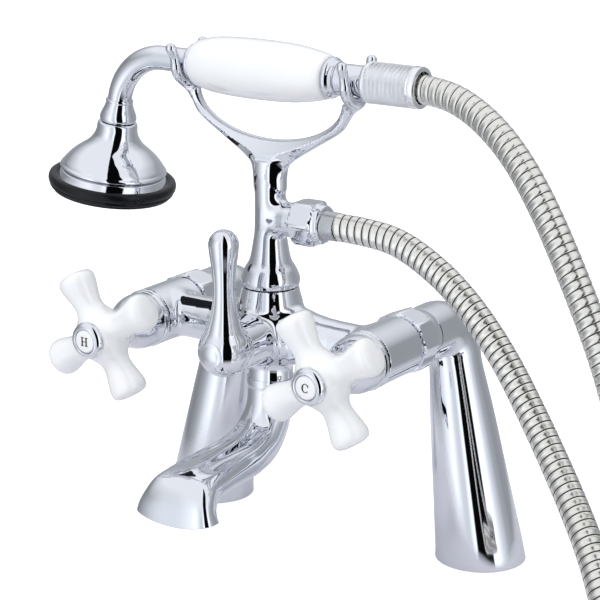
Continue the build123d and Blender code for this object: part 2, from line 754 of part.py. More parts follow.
with BuildPart() as cradle_column:
    with BuildSketch(column_plane):
        with BuildLine():
            profile = [(column_start + column_height * s, column_seam_radius * r) for s, r in column_shares]
            flank = Spline((column_start + seam_chamfer, column_seam_radius), *profile)
            Polyline(
                flank @ 1, (profile[-1][0], 0), (column_spigot_start, 0),
                (column_spigot_start, column_spigot_radius), (column_start, column_spigot_radius),
                (column_start, column_seam_radius - seam_chamfer), flank @ 0,
            )
        make_face()
    revolve(axis=axis_of(column_plane))
    with BuildSketch(outlet_plane):
        Polygon(
            (0, 0), (0, outlet_boss_radius), (outlet_boss_reach, outlet_boss_radius),
            (outlet_boss_reach, outlet_thread_radius), (outlet_thread_end, outlet_thread_radius),
            (outlet_thread_end, 0), align=None,
        )
    revolve(axis=axis_of(outlet_plane))
    with BuildSketch(handset_plane.offset(-cradle_thickness / 2)):
        with BuildLine():
            inner = EllipticalCenterArc(
                (0, -cradle_inner_drop), cradle_inner_half, cradle_inner_depth,
                start_angle=270, arc_size=90,
            )
            tip = Line(inner @ 1, (cradle_outer_half, -cradle_tip_drop))
            throat_drop = cradle_height - axis_height - column_start - column_height
            lyre_depth = throat_drop - cradle_tip_drop
            lyre_points = [
                (cradle_outer_half * x, -cradle_tip_drop - lyre_depth * z)
                for x, z in reversed(cradle_outer_shares)
            ]
            outer = Spline(tip @ 1, *lyre_points, (cradle_throat_half, -throat_drop))
            Polyline(outer @ 1, (0, -throat_drop), inner @ 0)
        make_face()
        mirror(about=Plane.YZ)
    extrude(amount=cradle_thickness)
    for sign, saddle_radius in ((-1, pipe_radius + free_gap), (1, connector_radius + free_gap)):
        fork_face = Plane(
            (sign * fork_offset - fork_width / 2, -column_setback, cradle_height),
            x_dir=(0, 1, 0), z_dir=(1, 0, 0),
        )
        with BuildSketch(fork_face):
            with BuildLine():
                root = Line((0, -fork_root_drop), (fork_root_half, -fork_root_drop))
                outer = Spline(
                    root @ 1, (saddle_radius + fork_wall, 0),
                    (fork_tip_spread + fork_tip_radius, fork_tip_rise),
                )
                cap_arc = ThreePointArc(
                    outer @ 1, (fork_tip_spread, fork_tip_rise + fork_tip_radius),
                    (fork_tip_spread - fork_tip_radius, fork_tip_rise),
                )
                inner = Spline(cap_arc @ 1, (saddle_radius, 0), tangents=((-1, -1), (0, -1)))
                saddle = ThreePointArc(
                    inner @ 1, (saddle_radius * cos(pi / 4), -saddle_radius * sin(pi / 4)),
                    (0, -saddle_radius),
                )
                Line(saddle @ 1, root @ 0)
            make_face()
            mirror(about=Plane.YZ)
        extrude(amount=fork_width)
    bore(column_plane, column_spigot_start, outlet_rise + column_bore_radius, column_bore_radius)
    bore(outlet_plane, 0, outlet_thread_end, column_bore_radius)
finish(cradle_column, "cradle_column")
finish(
    sleeve(column_plane, top_socket_floor, column_spigot_start, column_spigot_radius, column_bore_radius),
    "column_seal",
)


# Hose ends: a flanged ferrule clamped against a washer by a nut
def hose_ferrule(plane, flange_start, flange_radius, direction, length):
    """A ferrule whose flange starts at a station and whose sleeve runs on to the hose."""
    flange_end_station = flange_start + direction * ferrule_flange_thickness
    return turned(plane, [
        (flange_start, hose_bore_radius), (flange_start, flange_radius),
        (flange_end_station, flange_radius), (flange_end_station, ferrule_radius),
        (flange_start + direction * length, ferrule_radius),
        (flange_start + direction * length, hose_bore_radius),
    ])


washer_start = outlet_thread_end
ferrule_start = washer_start + hose_washer_thickness
outlet_nut_end = outlet_nut_start + outlet_nut_length
nut_origin = outlet_plane.origin + outlet_plane.x_dir * outlet_nut_start
nut_face = Plane(nut_origin, x_dir=(0, 1, 0), z_dir=(1, 0, 0))
corner = outlet_nut_flats / 2 / cos(pi / 6)
finish(
    sleeve(outlet_plane, washer_start, ferrule_start, ferrule_flange_radius, hose_bore_radius),
    "outlet_washer",
)
finish(
    hose_ferrule(outlet_plane, ferrule_start, ferrule_flange_radius, 1, ferrule_end - ferrule_start),
    "hose_ferrule_lower",
)
with BuildPart() as outlet_nut:
    with BuildSketch(nut_face):
        RegularPolygon(corner, hex_sides)
    extrude(amount=outlet_nut_length)
    with BuildSketch(outlet_plane):
        Polygon(
            (outlet_nut_start, 0), (outlet_nut_start, corner - outlet_nut_chamfer),
            (outlet_nut_start + outlet_nut_chamfer, corner),
            (outlet_nut_end - outlet_nut_chamfer, corner),
            (outlet_nut_end, corner - outlet_nut_chamfer), (outlet_nut_end, 0), align=None,
        )
    revolve(axis=axis_of(outlet_plane), mode=Mode.INTERSECT)
    bore(outlet_plane, outlet_nut_start, outlet_nut_end, ferrule_radius + seat_gap)
    bore(outlet_plane, outlet_nut_start, outlet_nut_end - outlet_nut_wall, outlet_thread_radius + slip)
finish(outlet_nut, "outlet_nut")

# Hand shower: pipe with gooseneck, connector, grip, rings and knurled nut
arc_end = radians(gooseneck_angle)
neck_tip = Vector(
    -gooseneck_start - gooseneck_radius * sin(arc_end), -column_setback,
    cradle_height - gooseneck_radius * (1 - cos(arc_end)),
)
rose_direction = Vector(-cos(arc_end), 0, -sin(arc_end))
arc_middle = Vector(
    -gooseneck_start - gooseneck_radius * sin(arc_end / 2), -column_setback,
    cradle_height - gooseneck_radius * (1 - cos(arc_end / 2)),
)
pipe_start = Vector(pipe_right_end, -column_setback, cradle_height)
bend_point = Vector(-gooseneck_start, -column_setback, cradle_height)
with BuildPart() as handset_pipe:
    with BuildLine() as neck_path:
        Line(pipe_start, bend_point)
        ThreePointArc(bend_point, arc_middle, neck_tip)
    with BuildSketch(Plane(pipe_start, z_dir=(-1, 0, 0))):
        Circle(pipe_radius)
        Circle(pipe_bore_radius, mode=Mode.SUBTRACT)
    sweep(path=neck_path.line)
finish(handset_pipe, "handset_pipe")

connector = turned(handset_plane, [
    (pipe_right_end, pipe_bore_radius), (pipe_right_end, pipe_radius), (connector_start, pipe_radius),
    (connector_start, connector_radius), (connector_end, connector_radius),
    (connector_end, pipe_bore_radius),
])
finish(connector, "handset_connector")

grip_length = grip_left + grip_right
with BuildPart() as grip:
    with BuildSketch(handset_plane):
        with BuildLine():
            swell = Spline(
                (-grip_left, grip_left_radius),
                (-grip_left + grip_length * grip_swell_share, grip_swell_radius),
                (-grip_left + grip_length * grip_fall_share, grip_fall_radius),
                (grip_right, grip_right_radius),
            )
            Polyline(swell @ 1, (grip_right, 0), (-grip_left, 0), swell @ 0)
        make_face()
    revolve(axis=axis_of(handset_plane))
    bore(handset_plane, -grip_left, grip_right, pipe_radius + slip)
finish(grip, "grip")
finish(
    sleeve(
        handset_plane, -grip_left - left_ring_length, -grip_left, left_ring_radius,
        pipe_radius + slip, seam_chamfer,
    ),
    "grip_ring_left",
)
right_ring = turned(handset_plane, [
    (grip_right, pipe_radius + slip), (grip_right, right_ring_neck_radius),
    (pipe_right_end, right_ring_neck_radius), (pipe_right_end, right_ring_radius - seam_chamfer),
    (pipe_right_end + seam_chamfer, right_ring_radius),
    (connector_start - seam_chamfer, right_ring_radius),
    (connector_start, right_ring_radius - seam_chamfer), (connector_start, pipe_radius + slip),
])
finish(right_ring, "grip_ring_right")

knurl_end = knurl_start + knurl_length
upper_ferrule_start = connector_end + hose_washer_thickness

with BuildPart() as knurled_nut:
    with BuildSketch(handset_plane):
        with BuildLine():
            nose = ThreePointArc(
                (knurl_start, knurl_radius - knurl_edge),
                (
                    knurl_start + knurl_edge * (1 - cos(pi / 4)),
                    knurl_radius - knurl_edge * (1 - sin(pi / 4)),
                ),
                (knurl_start + knurl_edge, knurl_radius),
            )
            Polyline(
                nose @ 1, (knurl_end - knurl_bezel_length, knurl_radius),
                (knurl_end - knurl_bezel_length, knurl_bezel_radius),
                (knurl_end - seam_chamfer, knurl_bezel_radius),
                (knurl_end, knurl_bezel_radius - seam_chamfer), (knurl_end, 0), (knurl_start, 0),
                nose @ 0,
            )
        make_face()
    revolve(axis=axis_of(handset_plane))
    bore(handset_plane, knurl_start, knurl_end, knurl_mouth_radius)
finish(knurled_nut, "knurled_nut")
finish(
    sleeve(handset_plane, connector_end, upper_ferrule_start, connector_radius, pipe_bore_radius),
    "hose_washer",
)
upper_ferrule_end = upper_route[0][0]
finish(
    hose_ferrule(
        handset_plane, upper_ferrule_start, connector_radius, 1, upper_ferrule_end - upper_ferrule_start
    ),
    "hose_ferrule_upper",
)

# Rose: collar, bell, lower ring, rubber ring and black spray face, on the tilted axis
rose_plane = Plane(neck_tip, x_dir=rose_direction, z_dir=(0, 1, 0))
bell_start = rose_collar_length
bell_end = bell_start + rose_length
ring_end = bell_end + rose_ring_length
with BuildPart() as rose_collar:
    with BuildSketch(rose_plane):
        with BuildLine():
            flare = Spline(
                (0, rose_collar_top_radius),
                (bell_start * 2 / 3, rose_collar_radius), (bell_start, rose_top_radius - seam_chamfer),
                tangents=((1, 0), (1, 0)),
            )
            Polyline(flare @ 1, (bell_start, 0), (0, 0), flare @ 0)
        make_face()
    revolve(axis=axis_of(rose_plane))
    bore(rose_plane, 0, bell_start, pipe_bore_radius)
finish(rose_collar, "rose_collar")
with BuildPart() as rose_bell:
    with BuildSketch(rose_plane):
        with BuildLine():
            bell_points = [(bell_start + rose_length * s, rose_rim_radius * r) for s, r in rose_shares]
            outer = Spline((bell_start, rose_top_radius), *bell_points, (bell_end, rose_rim_radius))
            Polyline(outer @ 1, (bell_end, rose_rim_radius - rose_wall))
            inner_points = [(s + rose_wall / 2, r - rose_wall) for s, r in reversed(bell_points)]
            inner = Spline(
                (bell_end, rose_rim_radius - rose_wall), *inner_points,
                (bell_start + rose_wall, rose_top_radius - rose_wall),
            )
            Polyline(
                inner @ 1, (bell_start + rose_wall, pipe_bore_radius), (bell_start, pipe_bore_radius),
                outer @ 0,
            )
        make_face()
    revolve(axis=axis_of(rose_plane))
finish(rose_bell, "rose_bell")
finish(
    sleeve(rose_plane, bell_end, ring_end, rose_ring_radius, rose_rim_radius - rose_wall, seam_chamfer),
    "rose_ring",
)
rubber_end = ring_end + rubber_length / 2
rubber_ring = turned(rose_plane, [
    (ring_end, spray_radius), (ring_end, rose_ring_radius),
    (ring_end - rubber_length / 2, rose_ring_radius + slip),
    (ring_end - rubber_length / 2, rubber_radius - seam_chamfer * 2),
    (ring_end - rubber_length / 4, rubber_radius), (rubber_end - rubber_length / 4, rubber_radius),
    (rubber_end, rubber_radius - seam_chamfer * 2), (rubber_end, spray_radius),
])
finish(rubber_ring, "rubber_ring")
spray_face = Plane(rose_plane.origin + rose_plane.x_dir * ring_end, z_dir=rose_direction)
with BuildPart() as spray_plate:
    with BuildSketch(spray_face):
        Circle(spray_radius - slip)
        for count, ring_radius in nozzle_rings:
            with PolarLocations(ring_radius, count):
                Circle(nozzle_radius, mode=Mode.SUBTRACT)
    extrude(amount=spray_thickness)
finish(spray_plate, "spray_plate")

# Bath spout: elliptical sections from the collar round to a wide mouth
spout_plane = Plane((0, -column_setback, axis_height - bottom_seam_drop), x_dir=(0, 0, 1), z_dir=(0, 1, 0))

with BuildPart() as spout:
    for shrink, mode in ((0, Mode.ADD), (spout_wall, Mode.SUBTRACT)):
        for forward, drop, tilt, half_width, half_depth in spout_section_shares:
            centre = (
                0, -column_setback - spout_reach * forward,
                axis_height - bottom_seam_drop - spout_drop * drop,
            )
            heading = (0, -cos(radians(tilt)), -sin(radians(tilt)))
            with BuildSketch(Plane(centre, x_dir=(1, 0, 0), z_dir=heading)):
                Ellipse(spout_lip_half * half_width - shrink, spout_lip_half * half_depth - shrink)
        loft(mode=mode)
    with BuildSketch(spout_plane):
        Polygon(
            (-spout_drop * spout_section_shares[0][1], 0),
            (-spout_drop * spout_section_shares[0][1], spout_lip_half / 2),
            (-spout_collar_length, spout_lip_half / 2),
            (-spout_collar_length, spout_collar_radius), (-seam_chamfer, spout_collar_radius),
            (0, spout_collar_radius - seam_chamfer), (0, spout_spigot_radius),
            (spout_spigot_length, spout_spigot_radius), (spout_spigot_length, 0), align=None,
        )
    revolve(axis=axis_of(spout_plane))
    bore(spout_plane, -spout_drop / 3, spout_spigot_length, spout_bore_radius)
finish(spout, "spout")
finish(
    sleeve(
        column_plane, -bottom_seam_drop + spout_spigot_length, bottom_socket_roof,
        spout_spigot_radius, spout_bore_radius,
    ),
    "spout_seal",
)


# Ribbed hose: two free stretches that run down to a coil put away on the deck
def corner_radii(points):
    """As large an arc at each corner as its shorter run allows."""
    radii = []
    for before, point, after in zip(points, points[1:], points[2:]):
        run_in, run_out = point - before, after - point
        half_turn = radians(run_in.get_angle(run_out)) / 2
        radii.append(corner_share * min(run_in.length, run_out.length) / tan(half_turn))
    return radii


def ribbed_hose(points):
    """Ribs as a ruled loft of circles along runs and arcs, with the bore swept out."""
    radii = corner_radii(points)
    with BuildPart() as hose:
        with BuildLine() as route:
            FilletPolyline(*points, radius=radii)
        path = route.wire()
        count = round(path.length / rib_pitch)
        stations = [(0, 0)] + [
            ((rib + share) / count, level) for rib in range(count) for share, level in rib_shares
        ] + [(1, 0)]
        for station, level in stations:
            place = Plane(path @ station, x_dir=steady_axis, z_dir=path % station)
            with BuildSketch(place):
                Circle(hose_radius if level else hose_groove_radius)
        loft(ruled=True)
        with BuildSketch(Plane(path @ 0, x_dir=steady_axis, z_dir=path % 0)):
            Circle(hose_bore_radius)
        sweep(path=path, mode=Mode.SUBTRACT)
    ring = pi * ((hose_radius + hose_groove_radius) ** 2 / 4 - hose_bore_radius**2)
    print("hose length", round(path.length, 1), "ribs", count, "least radius", round(min(radii), 1),
          "volume over section times length", round(hose.part.volume / (ring * path.length), 3))
    return hose, path.length


def level_turn(angle):
    """A unit vector on the deck at an angle from the cold side."""
    return Vector(cos(angle), sin(angle), 0)


def biarc_joint(start, start_tangent, end, end_tangent):
    """The point where two tangent arcs meet between two points."""
    chord = end - start
    both = start_tangent + end_tangent
    bend = 2 * (1 - start_tangent.dot(end_tangent))
    reach = (sqrt(chord.dot(both) ** 2 + bend * chord.dot(chord)) - chord.dot(both)) / bend
    return (start + start_tangent * reach + end - end_tangent * reach) / 2


steady_axis = (0, 1, 0)
lower_points = [Vector(*point) for point in lower_route]
deck_run = (lower_points[-1] - lower_points[-2]).normalized()
quarter = pi / 2
coil_turn = coil_quarters * quarter + radians(coil_last_turn)
first_angle = Vector(1, 0, 0).get_signed_angle(deck_run, Vector(0, 0, 1))
first_spoke = radians(first_angle) - quarter
coil_centre = lower_points[-1] - level_turn(first_spoke) * coil_radius
turned_angles = [quarter * step for step in range(coil_quarters + 1)] + [coil_turn]
climb = Vector(0, 0, coil_pitch / (2 * pi))
knots = [
    coil_centre + level_turn(first_spoke + angle) * coil_radius + climb * angle
    for angle in turned_angles
]
headings = [
    (level_turn(first_spoke + angle + quarter) * coil_radius + climb).normalized()
    for angle in turned_angles
]
headings[0] = level_turn(first_spoke + quarter)
headings[-1] = level_turn(first_spoke + coil_turn + quarter)

with BuildPart() as hose_coil:
    with BuildLine() as turns:
        for start, start_tangent, end, end_tangent in zip(knots, headings, knots[1:], headings[1:]):
            joint = biarc_joint(start, start_tangent, end, end_tangent)
            TangentArc(start, joint, tangent=start_tangent)
            TangentArc(joint, end, tangent=(turns.wire() % 1))
    coil_path = turns.wire()
    with BuildSketch(Plane(coil_path @ 0, x_dir=(0, 0, 1), z_dir=coil_path % 0)):
        Circle(hose_radius)
        Circle(hose_bore_radius, mode=Mode.SUBTRACT)
    sweep(path=coil_path)
finish(hose_coil, "hose_coil")

sample_count = 160
samples = [coil_path @ (step / sample_count) for step in range(sample_count + 1)]
apart = sample_count // 3
least_gap = min(
    (samples[i] - samples[j]).length
    for i in range(len(samples)) for j in range(i + apart, len(samples))
) - 2 * hose_radius
print("coil length", round(coil_path.length, 1), "turns", round(coil_turn / (2 * pi), 2),
      "least gap to itself", round(least_gap, 2))

hose_lower, lower_length = ribbed_hose(lower_points)
finish(hose_lower, "hose_lower")
upper_points = [Vector(*point) for point in upper_route] + [
    knots[-1] + headings[-1] * upper_last_run, knots[-1],
]
hose_upper, upper_length = ribbed_hose(upper_points)
finish(hose_upper, "hose_upper")
print("whole hose", round(lower_length + coil_path.length + upper_length, 1))
print("upper route ends", [tuple(round(c, 1) for c in point) for point in upper_points[-2:]])
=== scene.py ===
import json
import math
from types import SimpleNamespace

import bpy
import numpy as np
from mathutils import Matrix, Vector


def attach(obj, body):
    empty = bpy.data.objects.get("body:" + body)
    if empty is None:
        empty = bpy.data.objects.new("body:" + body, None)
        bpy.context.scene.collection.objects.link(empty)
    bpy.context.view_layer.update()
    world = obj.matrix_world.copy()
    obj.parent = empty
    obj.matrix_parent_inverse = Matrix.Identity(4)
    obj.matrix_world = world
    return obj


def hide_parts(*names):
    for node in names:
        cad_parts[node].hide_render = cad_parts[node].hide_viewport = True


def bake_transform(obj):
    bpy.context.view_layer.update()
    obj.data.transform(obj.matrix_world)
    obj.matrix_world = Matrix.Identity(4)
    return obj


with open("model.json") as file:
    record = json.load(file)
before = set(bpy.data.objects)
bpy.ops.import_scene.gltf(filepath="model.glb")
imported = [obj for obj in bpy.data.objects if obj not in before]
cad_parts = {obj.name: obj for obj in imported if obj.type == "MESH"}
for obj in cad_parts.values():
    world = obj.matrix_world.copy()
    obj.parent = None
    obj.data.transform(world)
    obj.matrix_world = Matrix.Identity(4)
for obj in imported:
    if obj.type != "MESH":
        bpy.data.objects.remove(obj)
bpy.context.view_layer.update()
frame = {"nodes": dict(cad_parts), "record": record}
print("frame loaded")

scene = bpy.context.scene
scene.view_settings.view_transform = "Standard"
mm = 0.001


def linked(name, data):
    item = bpy.data.objects.new(name, data)
    scene.collection.objects.link(item)
    return item


# the camera stands where the photograph was taken
cameraView = {"azimuth": 33.906, "elevation": 15.962, "distance": 1.18075,
              "target": (-0.027497, 0.0, 0.123671), "lens": 128.9, "sensor": 36.0, "clipEnd": 50.0}
azimuth, elevation = (math.radians(cameraView[k]) for k in ("azimuth", "elevation"))
towards = Vector((math.sin(azimuth) * math.cos(elevation),
                  -math.cos(azimuth) * math.cos(elevation), math.sin(elevation)))
cameraData = bpy.data.cameras.new("studioCamera")
cameraData.lens = cameraView["lens"]
cameraData.sensor_width = cameraView["sensor"]
cameraData.clip_end = cameraView["clipEnd"]
camera = linked("studioCamera", cameraData)
camera.location = Vector(cameraView["target"]) + towards * cameraView["distance"]
camera.rotation_euler = (-towards).to_track_quat("-Z", "Y").to_euler()
scene.camera = camera
print("camera placed")


# sRGB hex to linear
def fromHex(code):
    parts = [int(code[i:i + 2], 16) / 255 for i in (1, 3, 5)]
    return tuple(v / 12.92 if v <= 0.04045 else ((v + 0.055) / 1.055) ** 2.4 for v in parts) + (1.0,)


def addNode(tree, kind, inputs=None, **settings):
    node = tree.nodes.new(kind)
    for key, value in settings.items():
        setattr(node, key, value)
    for key, value in (inputs or {}).items():
        if isinstance(value, bpy.types.NodeSocket):
            tree.links.new(value, node.inputs[key])
        else:
            node.inputs[key].default_value = value
    return node


# Shared by all finishes; bumpDepth is in millimetres
grainLook = {"detail": 4.0, "low": 0.3, "high": 0.7, "bumpDepth": 0.1}


# A finish has two close colours, a roughness range and a bump, all driven by noise of a real size
def makeFinish(name, colours, grain, roughness, bump=0.0, metallic=0.0, **shader):
    material = bpy.data.materials.new(name)
    material.use_nodes = True
    tree = material.node_tree
    tree.nodes.clear()
    place = addNode(tree, "ShaderNodeTexCoord")
    # grain is in millimetres, and object coordinates are in metres
    noise = addNode(tree, "ShaderNodeTexNoise",
                    {"Vector": place.outputs["Object"], "Scale": 1 / (grain * mm),
                     "Detail": grainLook["detail"]})
    tint = addNode(tree, "ShaderNodeMix", {"Factor": noise.outputs["Fac"]}, data_type="RGBA")
    tint.inputs["A"].default_value, tint.inputs["B"].default_value = map(fromHex, colours)
    rough = addNode(tree, "ShaderNodeMapRange",
                    {"Value": noise.outputs["Fac"], "From Min": grainLook["low"],
                     "From Max": grainLook["high"], "To Min": roughness[0], "To Max": roughness[1]})
    surface = addNode(tree, "ShaderNodeBsdfPrincipled",
                      {"Base Color": tint.outputs["Result"], "Roughness": rough.outputs["Result"],
                       "Metallic": metallic, **shader})
    if bump:
        relief = addNode(tree, "ShaderNodeBump",
                         {"Height": noise.outputs["Fac"], "Strength": bump,
                          "Distance": grainLook["bumpDepth"] * mm})
        tree.links.new(relief.outputs["Normal"], surface.inputs["Normal"])
    addNode(tree, "ShaderNodeOutputMaterial", {"Surface": surface.outputs["BSDF"]})
    return material


# bright chromium plate over polished brass: cool, mirror-like, a faint haze where it is handled
chromePlate = makeFinish("polishedChromePlate", ("#E9EAEF", "#E2E4EA"), 30, (0.025, 0.05),
                         metallic=1.0)
# glazed porcelain: white body under a clear fired glaze with a very slight orange peel
porcelain = makeFinish("glazedPorcelain", ("#FAFAF9", "#F5F5F5"), 9, (0.07, 0.12), bump=0.04,
                       IOR=1.52, **{"Coat Weight": 0.6, "Coat Roughness": 0.03})
# folded stainless strip: warm satin bands; the groove between turns gets a dark finish that is painted
# shade
stripSteel = makeFinish("satinStainlessStrip", ("#EFEDE7", "#DFDDD6"), 2.2, (0.2, 0.3), bump=0.05,
                        metallic=1.0)
# painted shade: a dark colour on the groove faces, standing in for the shadow that falls into the groove
grooveShadePaint = makeFinish("stripGroovePaintedShade", ("#77746C", "#5F5C55"), 1.5, (0.4, 0.6), metallic=1.0)
# diamond knurling under the same plate: its small slopes scatter the light
knurledPlate = makeFinish("knurledChromePlate", ("#F6F6F8", "#ECEDF0"), 4, (0.1, 0.16),
                          metallic=1.0)
# moulded nitrile: black with a blue cast and a soft sheen
nitrileRubber = makeFinish("mouldedNitrileRubber", ("#0A0C14", "#05060B"), 1.2, (0.24, 0.36),
                           bump=0.06, **{"Specular IOR Level": 0.3})
# injection moulded acetal spray face: matt black, finely grained
acetalBlack = makeFinish("mouldedAcetal", ("#1A1B1F", "#131417"), 0.6, (0.45, 0.6), bump=0.15)
# turned brass left bare inside the fittings
turnedBrass = makeFinish("turnedBrass", ("#C9A257", "#B98F45"), 0.8, (0.22, 0.36), bump=0.06,
                         metallic=1.0)
# lapped alumina discs: ivory, smooth and matt
lappedCeramic = makeFinish("lappedAlumina", ("#E9E4D8", "#DDD7C9"), 0.5, (0.3, 0.42), bump=0.05)
# turned stainless screws with a fine lathe finish
turnedSteel = makeFinish("turnedStainless", ("#C4C5C7", "#B2B3B6"), 0.5, (0.2, 0.32), bump=0.06,
                         metallic=1.0)
# stoved enamel of the letters
letterEnamel = makeFinish("blackLetterEnamel", ("#141414", "#1C1C1C"), 0.7, (0.25, 0.35))
print("materials made")


# Mesh helpers, all in millimetres
def newPiece(name, points, faces, material, body, sharpAngle=38, normals=None, marks=None):
    mesh = bpy.data.meshes.new(name)
    mesh.from_pydata((np.asarray(points, dtype=float) * mm).tolist(), [], faces)
    mesh.validate()
    mesh.update()
    for finish in material if isinstance(material, (list, tuple)) else [material]:
        mesh.materials.append(finish)
    if marks is not None:
        mesh.polygons.foreach_set("material_index", marks)
    mesh.polygons.foreach_set("use_smooth", [True] * len(mesh.polygons))
    if normals is not None:
        mesh.normals_split_custom_set_from_vertices(normals.tolist())
    else:
        mesh.set_sharp_from_angle(angle=math.radians(sharpAngle))
    piece = linked(name, mesh)
    if body:
        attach(piece, body)
    return piece


# A smooth line through points by Catmull-Rom, with so many steps to a span
def smoothLine(points, steps):
    pts = np.array(points, dtype=float)
    ends = np.vstack([2 * pts[0] - pts[1], pts, 2 * pts[-1] - pts[-2]])
    out = []
    for i in range(1, len(ends) - 2):
        a, b, c, d = ends[i - 1:i + 3]
        for t in np.linspace(0, 1, steps, endpoint=False):
            out.append(0.5 * (2 * b + (c - a) * t + (2 * a - 5 * b + 4 * c - d) * t * t
                              + (3 * b - a - 3 * c + d) * t ** 3))
    return out + [pts[-1]]


# An axis with two directions across it
def axisOf(origin, along):
    line = SimpleNamespace()
    line.origin = np.array(origin, dtype=float)
    line.along = np.array(along, dtype=float) / np.linalg.norm(along)
    guide = np.array((0, 0, 1) if abs(line.along[2]) < 0.9 else (1, 0, 0), dtype=float)
    line.side = guide - line.along * guide.dot(line.along)
    line.side /= np.linalg.norm(line.side)
    line.third = np.cross(line.along, line.side)
    return line


# Quads between rings of points, row after row, and a face over each end that is closed
def ringFaces(rows, around, firstEnd=True, lastEnd=True):
    faces = []
    for i in range(rows - 1):
        for k in range(around):
            a, b = i * around + k, i * around + (k + 1) % around
            faces.append((a, b, b + around, a + around))
    if firstEnd:
        faces.append(tuple(reversed(range(around))))
    if lastEnd:
        faces.append(tuple(range((rows - 1) * around, rows * around)))
    return faces


# An outline of (station, radius) turned about an axis; radiusAt may change it by angle
def turned(name, line, outline, material, body, nodes, around=96, radiusAt=None, sharpAngle=38):
    leastRadius, onAxis = 1e-4, 0.01
    angles = np.linspace(0, 2 * math.pi, around, endpoint=False)
    points = []
    for station, radius in outline:
        for angle in angles:
            r = radiusAt(station, radius, angle) if radiusAt else radius
            across = line.side * math.cos(angle) + line.third * math.sin(angle)
            points.append(line.origin + line.along * station + across * max(r, leastRadius))
    faces = ringFaces(len(outline), around, outline[0][1] > onAxis, outline[-1][1] > onAxis)
    piece = newPiece(name, points, faces, material, body, sharpAngle)
    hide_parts(*nodes)


# Signed distance of the points (u, v) from a chain of corners, negative where v lies under the chain
def chainDistance(u, v, corners):
    best = np.full(len(u), 1e9)
    inside = np.zeros(len(u), dtype=bool)
    for (u0, v0), (u1, v1) in zip(corners[:-1], corners[1:]):
        du, dv = u1 - u0, v1 - v0
        size = du * du + dv * dv
        if size < 1e-12:
            continue
        t = np.clip(((u - u0) * du + (v - v0) * dv) / size, 0, 1)
        best = np.minimum(best, (u - u0 - t * du) ** 2 + (v - v0 - t * dv) ** 2)
        if du:
            crossed = ((u0 <= u) & (u < u1)) | ((u1 <= u) & (u < u0))
            inside ^= crossed & (v < v0 + dv * (u - u0) / du)
    return np.where(inside, -1, 1) * np.sqrt(best)


# Castings: distance fields of the joined forms, blended, skinned on a grid and pulled onto the surface
def turnedField(line, outline):
    corners = np.array([(outline[0][0], 0.0), *outline, (outline[-1][0], 0.0)], dtype=float)

    def field(p):
        rel = p - line.origin
        s = rel @ line.along
        rho = np.sqrt(np.maximum((rel * rel).sum(1) - s * s, 0))
        return chainDistance(s, rho, corners)
    return field


def capsuleField(points, radii):
    def field(p):
        best = np.full(len(p), 1e9)
        for a, b, ra, rb in zip(points[:-1], points[1:], radii[:-1], radii[1:]):
            a, b = np.array(a, dtype=float), np.array(b, dtype=float)
            t = np.clip((p - a) @ (b - a) / (b - a).dot(b - a), 0, 1)
            away = np.linalg.norm(p - a - t[:, None] * (b - a), axis=1)
            best = np.minimum(best, away - ra - (rb - ra) * t)
        return best
    return field


def blended(fields, fillet):
    def field(p):
        total = fields[0](p)
        for other in fields[1:]:
            value = other(p)
            h = np.maximum(fillet - np.abs(total - value), 0) / fillet
            total = np.minimum(total, value) - h * h * fillet / 4
        return total
    return field


# probe is how far to either side a slope is measured, leastSlope keeps the pulls short
casting = {"probe": 0.04, "rounds": 5, "leastSlope": 0.2}


def cast(name, field, low, high, step, material, body, nodes):
    axes = [np.arange(a, b + step, step) for a, b in zip(low, high)]
    grid = np.stack(np.meshgrid(*axes, indexing="ij"), -1)
    shape = grid.shape[:3]
    values = field(grid.reshape(-1, 3)).reshape(shape)
    inside = values < 0
    cells = [inside[i:shape[0] - 1 + i, j:shape[1] - 1 + j, k:shape[2] - 1 + k]
             for i in (0, 1) for j in (0, 1) for k in (0, 1)]
    mixed = np.any(cells, axis=0) & ~np.all(cells, axis=0)
    index = np.full(mixed.shape, -1)
    index[mixed] = np.arange(mixed.sum())
    points = grid[:-1, :-1, :-1][mixed] + step / 2
    faces = []
    for axis in range(3):
        one, two = (axis + 1) % 3, (axis + 2) % 3
        start = np.moveaxis(inside, (axis, one, two), (0, 1, 2))
        cell = np.moveaxis(index, (axis, one, two), (0, 1, 2))
        change = start[:-1, 1:-1, 1:-1] != start[1:, 1:-1, 1:-1]
        i, j, k = np.nonzero(change)
        quad = np.stack([cell[i, j, k], cell[i, j + 1, k], cell[i, j + 1, k + 1], cell[i, j, k + 1]], 1)
        outward = start[:-1, 1:-1, 1:-1][change]
        quad[~outward] = quad[~outward][:, ::-1]
        faces += quad[(quad >= 0).all(1)].tolist()

    def gradient(p):
        out = np.empty_like(p)
        for axis in range(3):
            shift = np.zeros(3)
            shift[axis] = casting["probe"]
            out[:, axis] = (field(p + shift) - field(p - shift)) / (2 * casting["probe"])
        return out
    for _ in range(casting["rounds"]):
        g = gradient(points)
        pull = field(points) / np.maximum((g * g).sum(1), casting["leastSlope"])
        points = points - np.clip(pull, -step, step)[:, None] * g
    normals = gradient(points)
    normals /= np.maximum(np.linalg.norm(normals, axis=1), 1e-6)[:, None]
    piece = newPiece(name, points, faces, material, body, normals=normals)
    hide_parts(*nodes)


# Frames along a line of points, carried without twist
def carriedFrames(points, guide=(0, 0, 1)):
    points = np.array(points, dtype=float)
    tangents = np.gradient(points, axis=0)
    tangents /= np.linalg.norm(tangents, axis=1)[:, None]
    side = np.cross(tangents[0], guide)
    side /= np.linalg.norm(side)
    sides = []
    for t in tangents:
        side = side - t * side.dot(t)
        side /= np.linalg.norm(side)
        sides.append(side.copy())
    sides = np.array(sides)
    return points, tangents, sides, np.cross(tangents, sides)


